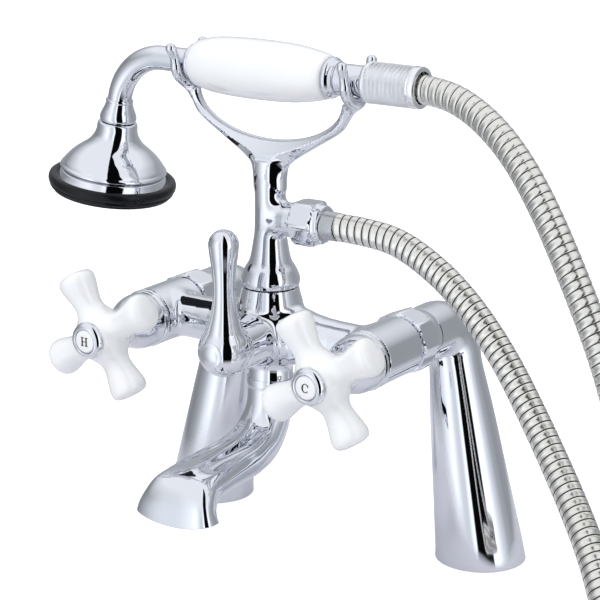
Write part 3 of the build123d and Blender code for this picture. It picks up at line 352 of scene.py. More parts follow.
# A round pipe along points, with a radius for each; a flat foot is cut level at z = 0
def piped(name, points, radii, material, body, nodes, around=96, flatFoot=False):
    points, tangents, sides, thirds = carriedFrames(points, (0, 1, 0.01))
    angles = np.linspace(0, 2 * math.pi, around, endpoint=False)[:, None]
    rings = [p + (a * np.cos(angles) + b * np.sin(angles)) * r
             for p, a, b, r in zip(points, sides, thirds, radii)]
    if flatFoot:
        rings[0] = rings[0] - tangents[0] * (rings[0][:, 2:3] / tangents[0][2])
    piece = newPiece(name, np.vstack(rings), ringFaces(len(rings), around), material, body)
    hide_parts(*nodes)


# The hose: one strip-wound tube from the outlet nut, down to a coil beside the mixer, up to the handset
# strip: one turn by share of the pitch, from the groove over crown and low step to the tucked edge
hose = {
    "crown": 7.1, "step": 6.97, "groove": 6.35, "pitch": 4.3, "length": 1.52, "around": 40,
    "strip": [(0.0, "groove"), (0.05, "groove"), (0.10, "step"), (0.16, "crown"), (0.50, "crown"),
              (0.56, "step"), (0.95, "step")],
    "coilCentre": (368.6, -143.5), "coilRadius": 71.0, "coilStart": -101.84, "coilSweep": 589.8,
    "coilSteps": 30, "coilFloor": 7.2, "coilTop": 31.8, "curveSteps": 16,
    "lowerRoute": [
        (42.0, -68.0, 188.5), (67.0, -68.0, 188.5), (88.5, -69.7, 182.0), (115.5, -75.0, 168.0),
        (144.0, -84.0, 145.0), (171.0, -97.0, 117.5), (197.5, -115.0, 94.0), (221.5, -136.0, 75.0),
        (241.0, -157.0, 53.5), (263.0, -177.0, 32.0), (291.0, -194.0, 14.5), (323.0, -206.5, 7.2),
        (354.0, -213.0, 7.2)],
    "upperRoute": [
        (324.9, -87.5, 31.8), (303.6, -104.1, 31.8), (280.0, -115.0, 41.5), (258.0, -120.0, 60.5),
        (241.0, -119.0, 84.0), (228.5, -115.0, 109.5), (218.0, -110.0, 136.5), (205.0, -103.5, 161.5),
        (185.5, -95.0, 190.8), (164.5, -86.0, 219.5), (143.0, -77.5, 241.5), (120.0, -70.5, 256.0),
        (98.0, -68.0, 263.5), (73.0, -68.0, 263.5)],
}
route = list(hose["lowerRoute"])
for step in range(1, hose["coilSteps"]):
    share = step / hose["coilSteps"]
    turn = math.radians(hose["coilStart"] + hose["coilSweep"] * share)
    route.append((hose["coilCentre"][0] + hose["coilRadius"] * math.cos(turn),
                  hose["coilCentre"][1] + hose["coilRadius"] * math.sin(turn),
                  hose["coilFloor"] + (hose["coilTop"] - hose["coilFloor"]) * share))
route += hose["upperRoute"]
hoseLine = bpy.data.curves.new("hoseLine", "CURVE")
hoseLine.dimensions = "3D"
hoseLine.resolution_u = hose["curveSteps"]
spline = hoseLine.splines.new("NURBS")
spline.points.add(len(route) - 1)
for point, place in zip(spline.points, route):
    point.co = (place[0] * mm, place[1] * mm, place[2] * mm, 1.0)
spline.order_u = 3
spline.use_endpoint_u = True
lineObject = linked("hoseLine", hoseLine)
drawnLine = lineObject.evaluated_get(bpy.context.evaluated_depsgraph_get())
lineMesh = bpy.data.meshes.new_from_object(drawnLine)
hosePath = [tuple(v.co) for v in lineMesh.vertices]
bpy.data.objects.remove(lineObject)
bpy.data.meshes.remove(lineMesh)


def windHose():
    path = np.array(hosePath) / mm
    points, _, sides, thirds = carriedFrames(path)
    stations = np.concatenate([[0], np.cumsum(np.linalg.norm(np.diff(points, axis=0), axis=1))])
    total = stations[-1]
    strip, around = hose["strip"], hose["around"]
    grooveShadeRows = (0, len(strip) - 1)
    rows = []
    for turnIndex in range(-1, int(total / hose["pitch"]) + 1):
        rows += [((turnIndex + share) * hose["pitch"], hose[level], k)
                 for k, (share, level) in enumerate(strip)]
    shares = np.arange(around) / around
    cosines, sines = np.cos(2 * math.pi * shares)[:, None], np.sin(2 * math.pi * shares)[:, None]
    rings = []
    for station, radius, _ in rows:
        along = np.clip(station + hose["pitch"] * shares, 0, total)
        centre, a, b = (np.stack([np.interp(along, stations, values[:, c]) for c in range(3)], 1)
                        for values in (points, sides, thirds))
        rings.append(centre + (a * cosines + b * sines) * radius)
    faces, marks = [], []
    for i in range(len(rows) - 1):
        for k in range(around):
            if k == around - 1 and i + len(strip) + 1 >= len(rows):
                continue
            a = i * around + k
            b = a + 1 if k < around - 1 else (i + len(strip)) * around
            faces.append((a, a + around, b + around, b))
            # faces of the groove rows take the second finish, the painted shade
            marks.append(1 if rows[i][2] in grooveShadeRows else 0)
    piece = newPiece("hose", np.vstack(rings), faces, [stripSteel, grooveShadePaint], None, 50, marks=marks)
    return piece, total


hosePiece, hoseTotal = windHose()
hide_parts("hose_lower", "hose_coil", "hose_upper")
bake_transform(hosePiece)
print("hose wound, line length", round(hoseTotal, 1))

# Axes shared by the turned pieces
layout = {"valve": 67.5, "leg": 89.0, "height": 127.7, "setback": 68.0, "handsetHeight": 263.5,
          "outletHeight": 188.5}
columnAxis = axisOf((0, -layout["setback"], layout["height"]), (0, 0, 1))
outletAxis = axisOf((0, -layout["setback"], layout["outletHeight"]), (1, 0, 0))
handsetAxis = axisOf((0, -layout["setback"], layout["handsetHeight"]), (1, 0, 0))
diverterAxis = axisOf((0, 0, layout["height"]), (0, -1, 0))
sideSigns = {"left": -1, "right": 1}
valveAxes = {side: axisOf((sign * layout["valve"], 0, layout["height"]), (0, -1, 0))
             for side, sign in sideSigns.items()}
handleBodies = {"left": "hot_handle", "right": "cold_handle"}

# Legs: tapered from the foot, one elbow and a short neck
# taper is by share of the length and of the foot's radius; below firstStation the foot is cut level
leg = {"taper": [(-0.04, 1.018), (0.3, 0.856), (0.61, 0.708), (0.8, 0.594)], "foot": 24.0,
       "neck": 14.0, "bend": 17.0, "reach": 31.0, "firstStation": 4.5, "steps": 14, "bendSteps": 20,
       "around": 120}
for side, sign in sideSigns.items():
    foot = np.array((sign * layout["leg"], 0, 0.0))
    crown = np.array((sign * layout["valve"], 0, layout["height"]))
    span = np.linalg.norm(crown - foot)
    rise = (crown - foot) / span
    bendStart = span - leg["bend"]
    line = [(s * span, r * leg["foot"]) for s, r in leg["taper"]] + [(bendStart, leg["neck"])]
    whole = smoothLine(line, leg["steps"])
    taper = [p for p in whole if p[0] > leg["firstStation"]]
    path = [foot] + [foot + rise * s for s, _ in taper]
    radii = [np.interp(0, [s for s, _ in whole], [r for _, r in whole])] + [r for _, r in taper]
    forward = np.array((0, -1.0, 0))
    hub = crown - rise * leg["bend"] + forward * leg["bend"]
    for a in np.linspace(0, math.pi / 2, leg["bendSteps"])[1:]:
        path.append(hub - forward * leg["bend"] * math.cos(a) + rise * leg["bend"] * math.sin(a))
        radii.append(leg["neck"])
    path.append(crown + forward * leg["reach"])
    radii.append(leg["neck"])
    piped(f"{side}LegPillar", path, radii, chromePlate, "mixer", [f"{side}_leg"], leg["around"],
          flatFoot=True)
print("legs made")


# Faceted nuts: flats cut back by a turned chamfer
def nutShape(nut):
    sector, turn = 2 * math.pi / nut["sides"], math.radians(nut["turn"])

    def radiusAt(_, radius, angle):
        inSector = (angle + turn + sector / 2) % sector - sector / 2
        return min(radius, nut["flats"] / 2 / math.cos(inSector))
    return radiusAt


unionNut = {"sides": 8, "flats": 31.4, "turn": 22.5, "around": 192, "sharp": 25,
            "outline": [(31.3, 11.0), (31.3, 13.4), (31.7, 14.0), (32.6, 14.35), (37.6, 14.4),
                        (38.4, 14.9), (38.9, 15.9), (39.6, 16.6), (40.4, 17.0), (51.3, 17.0),
                        (52.0, 16.5), (52.4, 15.6), (52.4, 11.0)]}
for side, line in valveAxes.items():
    turned(f"{side}UnionNut", line, unionNut["outline"], chromePlate, "mixer",
           [f"{side}_union_nut"], unionNut["around"], nutShape(unionNut), unionNut["sharp"])
outletNut = {"sides": 6, "flats": 21.5, "turn": 0.0, "around": 180, "sharp": 25,
             "outline": [(16.6, 8.0), (16.6, 9.6), (17.1, 10.4), (17.9, 11.6), (19.0, 12.4),
                         (29.0, 12.4), (29.8, 11.8), (30.4, 10.6), (30.8, 10.2), (32.6, 10.0),
                         (33.6, 9.4), (34.0, 8.6), (34.0, 7.2)]}
turned("outletHexNut", outletAxis, outletNut["outline"], chromePlate, "mixer", ["outlet_nut"],
       outletNut["around"], nutShape(outletNut), outletNut["sharp"])
ferrule = [(34.0, 7.6), (35.0, 7.6), (35.4, 7.3), (41.2, 7.3), (41.8, 7.0), (42.2, 6.4)]
turned("lowerFerrule", outletAxis, ferrule, turnedSteel, "mixer", ["hose_ferrule_lower"])
print("nuts made")

# Mixer body: two barrels, the cross arms, bulb, boss and diverter barrel as one casting
mixerBody = {
    "barrel": [(52.9, 14.3), (53.6, 15.2), (83.6, 15.2), (84.4, 14.4)],
    "arms": [(-67.5, 11.4), (-42.0, 11.7), (-33.0, 12.2), (-26.0, 13.2), (-19.0, 14.8), (19.0, 14.8),
             (26.0, 13.2), (33.0, 12.2), (42.0, 11.7), (67.5, 11.4)],
    "bulb": [(-25.0, 11.7), (-17.5, 11.8), (-12.5, 14.0), (-7.0, 16.5), (0.0, 17.5), (8.0, 17.6),
             (15.0, 16.9), (20.6, 15.5), (24.4, 14.7)],
    "diverterBarrel": [(68.0, 13.4), (102.2, 13.4), (102.8, 12.8)],
    "bulbSteps": 4, "fillet": 3.6, "grid": 0.9, "low": (-85, -105, 101), "high": (85, -51, 154),
}
crossAxis = axisOf((0, -layout["setback"], layout["height"]), (1, 0, 0))
bodyField = blended([
    turnedField(columnAxis, smoothLine(mixerBody["bulb"], mixerBody["bulbSteps"])),
    turnedField(crossAxis, mixerBody["arms"]),
    turnedField(diverterAxis, mixerBody["diverterBarrel"]),
    turnedField(valveAxes["left"], mixerBody["barrel"]),
    turnedField(valveAxes["right"], mixerBody["barrel"]),
], mixerBody["fillet"])
cast("mixerBodyCasting", bodyField, mixerBody["low"], mixerBody["high"], mixerBody["grid"],
     chromePlate, "mixer", ["mixer_body"])
print("body cast")

# Bonnets with a bead, a step and a dome
bonnet = [(85.0, 13.6), (85.0, 14.6), (85.4, 15.1), (86.1, 15.35), (86.9, 15.1), (87.3, 14.5),
          (87.9, 14.4)]
bonnet += smoothLine([(88.4, 14.6), (91.5, 14.7), (95.5, 14.2), (99.5, 13.0), (103.0, 11.3),
                      (105.4, 10.2)], 5)
bonnet += [(107.0, 10.0), (107.6, 9.6), (107.8, 9.0), (107.8, 5.0)]
for side, line in valveAxes.items():
    turned(f"{side}BonnetDome", line, bonnet, chromePlate, "mixer", [f"{side}_bonnet"])

# Porcelain handles: four waisted arms and a hub, poured as one
handle = {
    "angles": (32.0, 122.0, 212.0, 302.0), "plane": 122.0, "fillet": 6.5, "steps": 4, "grid": 0.9,
    "arm": [(0, 7.8), (8, 7.3), (14.2, 7.0), (20, 7.6), (25.5, 8.9), (29.8, 9.65), (32.6, 9.1),
            (34.2, 7.2), (34.9, 4.0), (35.0, 0.05)],
    "hub": [(108.2, 10.2), (110.5, 10.4), (114.0, 11.2), (118.0, 12.4), (122.0, 12.9), (126.0, 12.5),
            (130.0, 11.0), (133.0, 9.7)],
    "boxHalf": 37, "boxDepth": (-136, -106), "boxHeight": (90, 165),
}
armOutline, hubOutline = (smoothLine(handle[k], handle["steps"]) for k in ("arm", "hub"))
for side, line in valveAxes.items():
    middle = line.origin + line.along * handle["plane"]
    fields = [turnedField(line, hubOutline)]
    for angle in handle["angles"]:
        a = math.radians(angle)
        fields.append(turnedField(axisOf(middle, (math.cos(a), 0, math.sin(a))), armOutline))
    low, high = ((line.origin[0] + sign * handle["boxHalf"], handle["boxDepth"][end],
                  handle["boxHeight"][end]) for end, sign in enumerate((-1, 1)))
    cast(f"{side}PorcelainHandle", blended(fields, handle["fillet"]), low, high, handle["grid"],
         porcelain, handleBodies[side], [f"{side}_handle"])
print("handles cast")

# Chrome bezels, white discs and the black letters
bezel = [(133.0, 8.6), (133.1, 9.3), (133.5, 9.55), (134.4, 9.5), (135.6, 9.0), (136.6, 8.2),
         (137.1, 7.4), (137.25, 6.8), (137.0, 6.35), (136.5, 6.2), (134.0, 6.2)]
indexDisc = [(134.0, 6.15), (136.2, 6.1), (136.7, 5.8), (136.95, 5.2), (137.05, 3.0), (137.1, 0.0)]
# root and face are stations on the valve's axis; the round letter runs from opening to closing degrees
letter = {"height": 4.6, "width": 4.0, "stroke": 0.75, "thin": 0.35, "root": 136.9, "face": 137.1,
          "lift": 0.14, "inset": 0.35, "barInset": 0.5, "serif": 0.85, "opening": 40, "closing": 322,
          "steps": 40, "endWeight": 0.6, "swell": 0.5, "swellPower": 1.2,
          "beak": [(-0.2, -0.9), (0.25, -0.9), (0.25, 0.5), (-0.2, 0.0)]}


# H by bars and serifs, C by a swelling arc with a beak at its upper end
def letterSheets(kind):
    h, w, s, t = (letter[k] for k in ("height", "width", "stroke", "thin"))
    if kind == "H":
        left, right, inset = -w / 2 + letter["inset"], w / 2 - letter["inset"], letter["barInset"]
        bars = [(left, -h / 2, left + s, h / 2), (right - s, -h / 2, right, h / 2),
                (-w / 2 + inset, -t / 2, w / 2 - inset, t / 2)]
        for x in (left + s / 2, right - s / 2):
            for y in (-h / 2, h / 2 - t):
                bars.append((x - letter["serif"], y, x + letter["serif"], y + t))
        return [[(a, b), (c, b), (c, d), (a, d)] for a, b, c, d in bars]
    outer, inner = [], []
    opening, closing = math.radians(letter["opening"]), math.radians(letter["closing"])
    for angle in np.linspace(opening, closing, letter["steps"]):
        bulge = (0.5 - 0.5 * math.cos(angle)) ** letter["swellPower"]
        weight = s * (letter["endWeight"] + letter["swell"] * bulge)
        outer.append((math.cos(angle) * w / 2, math.sin(angle) * h / 2))
        inner.append((math.cos(angle) * (w / 2 - weight), math.sin(angle) * (h / 2 - t)))
    sheets = [[outer[i], outer[i + 1], inner[i + 1], inner[i]] for i in range(len(outer) - 1)]
    return sheets + [[(outer[0][0] + dx, outer[0][1] + dy) for dx, dy in letter["beak"]]]


for side, line in valveAxes.items():
    body = handleBodies[side]
    turned(f"{side}IndexBezel", line, bezel, chromePlate, body, [f"{side}_index_bezel"])
    turned(f"{side}IndexDisc", line, indexDisc, porcelain, body, [f"{side}_index_disc"])
    points, faces = [], []
    for sheet in letterSheets("H" if side == "left" else "C"):
        base = len(points)
        for depth in (letter["root"], letter["face"] + letter["lift"]):
            points += [(line.origin[0] + u, -depth, line.origin[2] + v) for u, v in sheet]
        faces.append((base + 4, base + 5, base + 6, base + 7))
        faces += [(base + i, base + (i + 1) % 4, base + 4 + (i + 1) % 4, base + 4 + i) for i in range(4)]
    newPiece(f"{side}IndexLetter", points, faces, letterEnamel, body, 30)
print("bezels and letters made")

# Diverter: ball and lever turned as one, with a flush cap in front
lever = {"ballAt": -108.7, "ball": 13.6, "ballTo": 122, "ballSteps": 26, "tipHeight": 7.7,
         "tipSteps": 16,
         "stem": [(9.6, 9.9), (14.5, 8.2), (22.0, 6.35), (31.2, 5.6), (41.0, 6.1), (49.2, 7.2),
                  (54.6, 7.75)]}
leverLine = [(-lever["ball"] * math.cos(a), lever["ball"] * math.sin(a))
             for a in np.linspace(0, math.radians(lever["ballTo"]), lever["ballSteps"])]
leverLine += smoothLine(lever["stem"], 6)
stemEnd, tipRadius = lever["stem"][-1]
leverLine += [(stemEnd + lever["tipHeight"] * math.sin(a), tipRadius * math.cos(a))
              for a in np.linspace(0, math.pi / 2, lever["tipSteps"])[1:]]
turned("diverterLeverBall", axisOf((0, lever["ballAt"], layout["height"]), (0, 0, 1)), leverLine,
       chromePlate, "diverter", ["diverter_lever"], sharpAngle=60)
cap = [(117.0, 6.3), (120.6, 6.7), (121.1, 6.65), (121.4, 6.2), (121.45, 0.0)]
turned("diverterFaceCap", diverterAxis, cap, chromePlate, "diverter", ["diverter_cap"])
print("diverter made")

# Column, outlet boss, lyre and forks as one casting
columnLine = smoothLine([(24.9, 14.2), (25.4, 14.8), (28.7, 15.25), (33.4, 13.6), (38.7, 10.7),
                         (47.5, 9.0), (54.5, 8.1), (69.2, 7.9), (79.2, 8.2), (84.0, 8.4),
                         (90.0, 8.0)], 5)
outletBoss = [(0.0, 8.4), (9.0, 8.4), (13.0, 8.9), (16.2, 9.0), (16.5, 8.6)]
lyre = {"innerHalf": 43.5, "innerDepth": 22.0, "innerDrop": 12.5, "edge": 1.7, "slope": 0.62,
        "roofShare": 0.85, "soft": 1.6, "depth": 6.0,
        "outer": [(54.4, -10.5), (48.0, -19.5), (42.5, -27.0), (27.4, -36.5), (13.5, -45.5),
                  (8.5, -52.5), (8.0, -60.0)]}
# radii of a fork run tip, middle, end of the saddle, saddle; the two saddles fit the pipe's two ends
fork = {"saddles": {-51.5: 9.7, 51.5: 11.1}, "steps": 15, "tip": (13.6, 8.2), "middleOut": 0.9,
        "middleHeight": 3.8, "radii": (2.7, 2.5, 2.6, 2.9)}
cradle = {"fillet": 4.0, "grid": 0.85, "low": (-56, -86, 151), "high": (56, -50, 277)}
ellipse = [(lyre["innerHalf"] * math.cos(a), -lyre["innerDrop"] - lyre["innerDepth"] * math.sin(a))
           for a in np.linspace(0, math.pi / 2, 26)]
rightHalf = ellipse[::-1] + [tuple(p) for p in smoothLine(lyre["outer"], 6)]
lyreOutline = rightHalf + [(-x, z) for x, z in rightHalf[:0:-1]] + rightHalf[:1]


def lyreField(p):
    x, y, z = p[:, 0], p[:, 1] + layout["setback"], p[:, 2] - layout["handsetHeight"]
    flat = chainDistance(z, x, [(v, u) for u, v in lyreOutline])
    # the ridge stands where the two edges are furthest away
    roof = (np.abs(y) - lyre["edge"] + lyre["slope"] * flat) * lyre["roofShare"]
    soft = lyre["soft"]
    h = np.maximum(soft - np.abs(flat - roof), 0) / soft
    sheet = np.maximum(flat, roof) + h * h * soft / 4
    return np.maximum(sheet, np.abs(y) - lyre["depth"])


def forkField(x, saddle):
    y, z = -layout["setback"], layout["handsetHeight"]
    ring = [(x, y + math.cos(a) * saddle, z + math.sin(a) * saddle)
            for a in np.linspace(math.radians(180), math.radians(360), fork["steps"])]
    tips = [(x, y + s * fork["tip"][0], z + fork["tip"][1]) for s in (-1, 1)]
    middles = [(x, y + s * (saddle + fork["middleOut"]), z + fork["middleHeight"]) for s in (-1, 1)]
    tip, middle, end, low = fork["radii"]
    return capsuleField([tips[0], middles[0], *ring, middles[1], tips[1]],
                        [tip, middle, end, *([low] * (fork["steps"] - 2)), end, middle, tip])


cradleField = blended([
    turnedField(columnAxis, columnLine), turnedField(outletAxis, outletBoss), lyreField,
    *(forkField(x, saddle) for x, saddle in fork["saddles"].items()),
], cradle["fillet"])
cast("cradleColumnCasting", cradleField, cradle["low"], cradle["high"], cradle["grid"], chromePlate,
     "mixer", ["cradle_column"])
print("cradle cast")

# Handset: pipe and gooseneck, rings, grip, connector
goose = {"end": 38.5, "start": -67.5, "radius": 29.0, "angle": 82.0, "pipe": 6.35, "straightSteps": 12,
         "bendSteps": 34}
pipePath = [(x, -layout["setback"], layout["handsetHeight"])
            for x in np.linspace(goose["end"], goose["start"], goose["straightSteps"])]
for a in np.linspace(0, math.radians(goose["angle"]), goose["bendSteps"])[1:]:
    pipePath.append((goose["start"] - goose["radius"] * math.sin(a), -layout["setback"],
                     layout["handsetHeight"] - goose["radius"] * (1 - math.cos(a))))
piped("handsetPipe", pipePath, [goose["pipe"]] * len(pipePath), chromePlate, "handset",
      ["handset_pipe"])
grip = [(-44.9, 8.4), (-44.95, 9.6), (-44.4, 10.7)]
grip += smoothLine([(-43.4, 11.5), (-39.0, 12.9), (-31.0, 14.3), (-18.3, 15.05), (-4.0, 15.2),
                    (9.0, 14.9), (18.2, 14.2), (28.0, 12.7), (33.6, 11.5)], 6)
grip += [(35.2, 10.9), (35.8, 10.2), (35.9, 9.0)]
turned("porcelainGrip", handsetAxis, grip, porcelain, "handset", ["grip"], 128, sharpAngle=60)
leftRing = [(-48.2, 6.4), (-48.2, 7.9), (-47.9, 8.8), (-47.2, 9.35), (-46.2, 9.4), (-45.4, 9.2),
            (-45.0, 8.7), (-45.0, 6.4)]
turned("leftGripRing", handsetAxis, leftRing, chromePlate, "handset", ["grip_ring_left"], sharpAngle=60)
rightRing = [(36.0, 6.4), (36.0, 9.0), (36.3, 9.9), (37.2, 10.35), (38.3, 10.3), (39.2, 9.7),
             (39.6, 9.0), (40.2, 8.7), (41.5, 8.6), (41.9, 8.2), (41.9, 6.4)]
turned("rightGripRing", handsetAxis, rightRing, chromePlate, "handset", ["grip_ring_right"],
       sharpAngle=60)
connector = [(42.0, 6.4), (42.0, 7.4), (42.3, 7.7), (60.4, 7.7), (60.4, 5.0)]
turned("hoseConnector", handsetAxis, connector, chromePlate, "handset", ["handset_connector"])
print("handset pipe and grip made")

# Knurled nut: two crossing sets of ridges about 1.5 mm apart, drawn at about half their real count
knurl = {"start": 60.4, "end": 84.9, "radius": 10.45, "count": 44, "depth": 0.5, "fade": 0.8,
         "rows": 110, "around": 400}


def knurlRadius(station, radius, angle):
    if not knurl["start"] < station < knurl["end"]:
        return radius
    lead = 2 * math.pi * knurl["radius"] / knurl["count"]
    u = angle * knurl["count"] / (2 * math.pi)
    v = (station - knurl["start"]) / lead
    fade = min(1.0, (station - knurl["start"]) / knurl["fade"], (knurl["end"] - station) / knurl["fade"])
    wave = [abs(((w % 1.0) * 2) - 1) for w in (u + v, u - v)]
    return radius - knurl["depth"] * fade * max(wave)


nutLine = [(57.9, 7.9), (57.9, 8.9), (58.2, 9.6), (58.9, 10.15), (59.8, 10.45)]
nutLine += [(float(s), knurl["radius"])
            for s in np.linspace(knurl["start"], knurl["end"], knurl["rows"])]
nutLine += [(85.3, 9.9), (85.6, 9.8), (85.9, 9.9), (86.2, 10.25), (88.0, 10.3), (88.6, 10.1),
            (88.8, 9.7), (88.8, 8.0), (84.0, 7.9)]
turned("knurledHoseNut", handsetAxis, nutLine, knurledPlate, "handset", ["knurled_nut"],
       knurl["around"], knurlRadius, sharpAngle=32)
upperFerrule = [(62.6, 7.4), (73.4, 7.0), (74.0, 6.4)]
turned("upperFerrule", handsetAxis, upperFerrule, turnedSteel, "handset", ["hose_ferrule_upper"])
print("knurled nut made")

# Rose: collar, bell, lower ring and the rubber ring, on the tilted axis of the neck
tilt = math.radians(goose["angle"])
roseAxis = axisOf(pipePath[-1], (-math.cos(tilt), 0, -math.sin(tilt)))
collar = [(-0.6, 6.4), (-0.6, 6.9), (-0.2, 7.2), (0.5, 7.3), (1.1, 7.0)]
collar += smoothLine([(1.4, 7.05), (4.0, 7.9), (6.6, 9.0), (8.6, 9.65), (10.0, 9.7)], 5)
collar += [(10.8, 9.4), (11.2, 9.0), (11.2, 6.4)]
turned("roseCollar", roseAxis, collar, chromePlate, "handset", ["rose_collar"], sharpAngle=45)
bell = [(11.6, 6.5), (11.6, 8.8), (11.8, 9.7), (12.4, 10.3), (13.2, 10.6)]
bell += smoothLine([(14.0, 10.7), (17.0, 11.05), (20.2, 12.4), (23.8, 15.2), (27.3, 19.6), (30.5, 23.2),
                    (34.0, 26.2), (36.0, 27.5)], 6)
bell += [(36.5, 28.1), (37.2, 28.45), (37.9, 28.4), (38.3, 28.0), (38.4, 27.2), (38.4, 24.0)]
turned("roseBell", roseAxis, bell, chromePlate, "handset", ["rose_bell"], 144, sharpAngle=45)
lowerRing = [(38.4, 25.0), (38.8, 26.6), (39.2, 27.6), (39.9, 28.0), (42.8, 29.0), (43.4, 29.5),
             (43.6, 29.0), (43.6, 26.0)]
turned("roseLowerRing", roseAxis, lowerRing, chromePlate, "handset", ["rose_ring"], 144, sharpAngle=50)
rubberLine = [(43.6, 28.8), (42.9, 29.4), (42.1, 30.4), (41.7, 31.6), (41.9, 32.8), (42.6, 33.6),
              (43.8, 34.05), (45.2, 34.1), (46.4, 33.8), (46.9, 33.2), (47.2, 32.8), (47.6, 33.0),
              (48.2, 33.1), (48.8, 32.7), (49.0, 32.2), (49.3, 31.8), (49.8, 31.8), (50.3, 31.4),
              (50.5, 30.8), (50.5, 29.7)]
turned("roseRubberRing", roseAxis, rubberLine, nitrileRubber, "handset", ["rubber_ring"], 144,
       sharpAngle=50)
print("rose made")

# Spout: sections along its line, with rails, a middle ridge and a flared lip
# each row: y, z, fall of the line in degrees, half width, up, down, ridge, rail, squareness
# ridge and rail places and widths are shares of the half width
spout = {
    "rows": [
        (-68.0, 103.5, 90, 12.5, 12.5, 12.5, 0.0, 0.0, 1.0),
        (-68.0, 100.6, 90, 12.6, 12.6, 12.6, 0.0, 0.0, 1.0),
        (-68.1, 96.5, 88, 12.3, 12.3, 12.3, 0.0, 0.0, 1.0),
        (-69.4, 88.0, 76, 12.2, 12.0, 12.0, 0.0, 0.0, 1.0),
        (-74.0, 78.6, 50, 12.8, 11.6, 11.2, 0.3, 0.4, 0.95),
        (-82.5, 71.0, 25, 13.7, 9.6, 10.2, 1.6, 1.4, 0.86),
        (-96.0, 67.4, 6, 14.7, 7.4, 9.6, 2.4, 2.3, 0.78),
        (-112.0, 66.6, 2, 15.4, 6.7, 9.0, 2.3, 2.4, 0.74),
        (-125.8, 66.2, 7, 16.2, 7.0, 8.5, 1.4, 1.6, 0.74),
        (-136.0, 65.0, 15, 17.2, 8.2, 8.2, 0.5, 0.5, 0.74),
        (-142.6, 63.0, 34, 18.9, 8.8, 7.6, 0.1, 0.1, 0.68),
        (-147.0, 59.4, 60, 20.6, 8.2, 6.8, 0.0, 0.0, 0.64),
        (-148.8, 55.8, 76, 22.2, 8.4, 6.6, 0.0, 0.0, 0.62),
        (-149.2, 52.6, 88, 23.4, 8.9, 6.6, 0.0, 0.0, 0.62),
    ],
    "steps": 7, "around": 96, "wall": 1.7, "lipDrop": 3.2, "lipFrom": 60.0, "ridgeWidth": 0.2,
    "railPlace": 0.8, "railWidth": 0.16, "railPower": 0.4, "rimDepth": 0.35, "rimInset": 0.5,
    "mouthDepth": 0.3, "mouthWall": 0.3, "mouthRows": (-8, -34, -5),
}


def spoutRing(row, shrink=0.0):
    y, z, fall, half, up, down, ridge, rail, square = row
    a = math.radians(fall)
    raised = np.array((0, -math.sin(a), math.cos(a)))
    ring = []
    for k in range(spout["around"]):
        t = 2 * math.pi * k / spout["around"]
        c, s = math.cos(t), math.sin(t)
        x = math.copysign(abs(c) ** square, c) * (half - shrink)
        height = math.copysign(abs(s) ** square, s) * ((up if s > 0 else down) - shrink)
        if s > 0 and not shrink:
            u = x / half
            railAway = (abs(u) - spout["railPlace"]) / spout["railWidth"]
            height += (ridge * math.exp(-(u / spout["ridgeWidth"]) ** 2)
                       + rail * math.exp(-railAway ** 2) * s ** spout["railPower"])
        point = np.array((x, y, z)) + raised * height
        # the lip hangs lowest in the middle of its front
        if s > 0 and z < spout["lipFrom"]:
            reach = (spout["lipFrom"] - z) / (spout["lipFrom"] - spout["rows"][-1][1])
            point[2] -= spout["lipDrop"] * reach * (1 - (x / half) ** 2)
        ring.append(point)
    return ring


# outside from the collar to the lip, round the rim and some way back up the waterway
spoutRows = smoothLine(spout["rows"], spout["steps"])
rings = [spoutRing(row) for row in spoutRows]
last = spoutRows[-1]
rings.append(spoutRing((last[0], last[1] - spout["rimDepth"], *last[2:]), spout["rimInset"]))
rings.append(spoutRing((last[0], last[1] - spout["mouthDepth"], *last[2:]), spout["wall"]))
rings += [spoutRing(row, spout["wall"] + spout["mouthWall"])
          for row in spoutRows[slice(*spout["mouthRows"])]]
piece = newPiece("spoutCasting", np.vstack(rings), ringFaces(len(rings), spout["around"]), chromePlate,
                 "mixer", 50)
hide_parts("spout")
print("spout made")

# Finishes of the CAD pieces that stay
slotFinishes = {"chrome": chromePlate, "porcelain": porcelain, "brass": turnedBrass,
                "seal_rubber": nitrileRubber, "rose_rubber": nitrileRubber,
                "disc_ceramic": lappedCeramic, "spray_plastic": acetalBlack, "steel": turnedSteel,
                "hose_steel": stripSteel}
slots = {entry["node"]: entry["material_slot"] for entry in frame["record"]["subparts"]}
for node, piece in frame["nodes"].items():
    for place in piece.material_slots:
        place.link = "OBJECT"
        place.material = slotFinishes[slots[node]]
print("CAD finishes set")

# Studio: pale floor, white backdrop, two large soft lamps and a room of pale walls with one black flag
# walls: degrees from the camera's side, and the brightness of the room there
studio = {
    "floorColour": "#E4E4E8", "floorGlow": 0.62, "floorHalf": 4, "floorDrop": 0.0002,
    "tableRadius": 0.30, "tableShare": 0.5,
    "keyPower": 14.0, "keySize": 1.1, "keyPlace": (-0.9, -1.5, 1.7),
    "fillPower": 8.0, "fillSize": 1.4, "fillPlace": (1.7, -0.6, 1.3),
    "walls": [(-180, 0.50), (-150, 0.36), (-122, 0.30), (-100, 0.42), (-84, 0.60), (-66, 1.05),
              (-46, 1.45), (-30, 0.90), (-20, 0.84), (-12, 1.35), (-7, 1.45), (-5, 0.003), (32, 0.003),
              (34, 1.55), (47, 1.50), (62, 0.95), (80, 0.52), (104, 0.38), (130, 0.42), (156, 0.48),
              (180, 0.50)],
    "wallTint": (0.9, 0.945, 1.0), "flagBelow": 0.05,
    "ceiling": (0.3, 0.7), "ceilingColour": (0.98, 1.0, 1.04, 1),
    "ground": (-0.45, -0.75), "groundColour": (0.70, 0.71, 0.78, 1),
}
floorMesh = bpy.data.meshes.new("studioFloor")
floorMesh.from_pydata([(x * studio["floorHalf"], y * studio["floorHalf"], 0)
                       for x, y in ((-1, -1), (1, -1), (1, 1), (-1, 1))], [], [(0, 1, 2, 3)])
floor = linked("studioFloor", floorMesh)
floor.location.z = -studio["floorDrop"]
floorFinish = bpy.data.materials.new("matWhiteFloor")
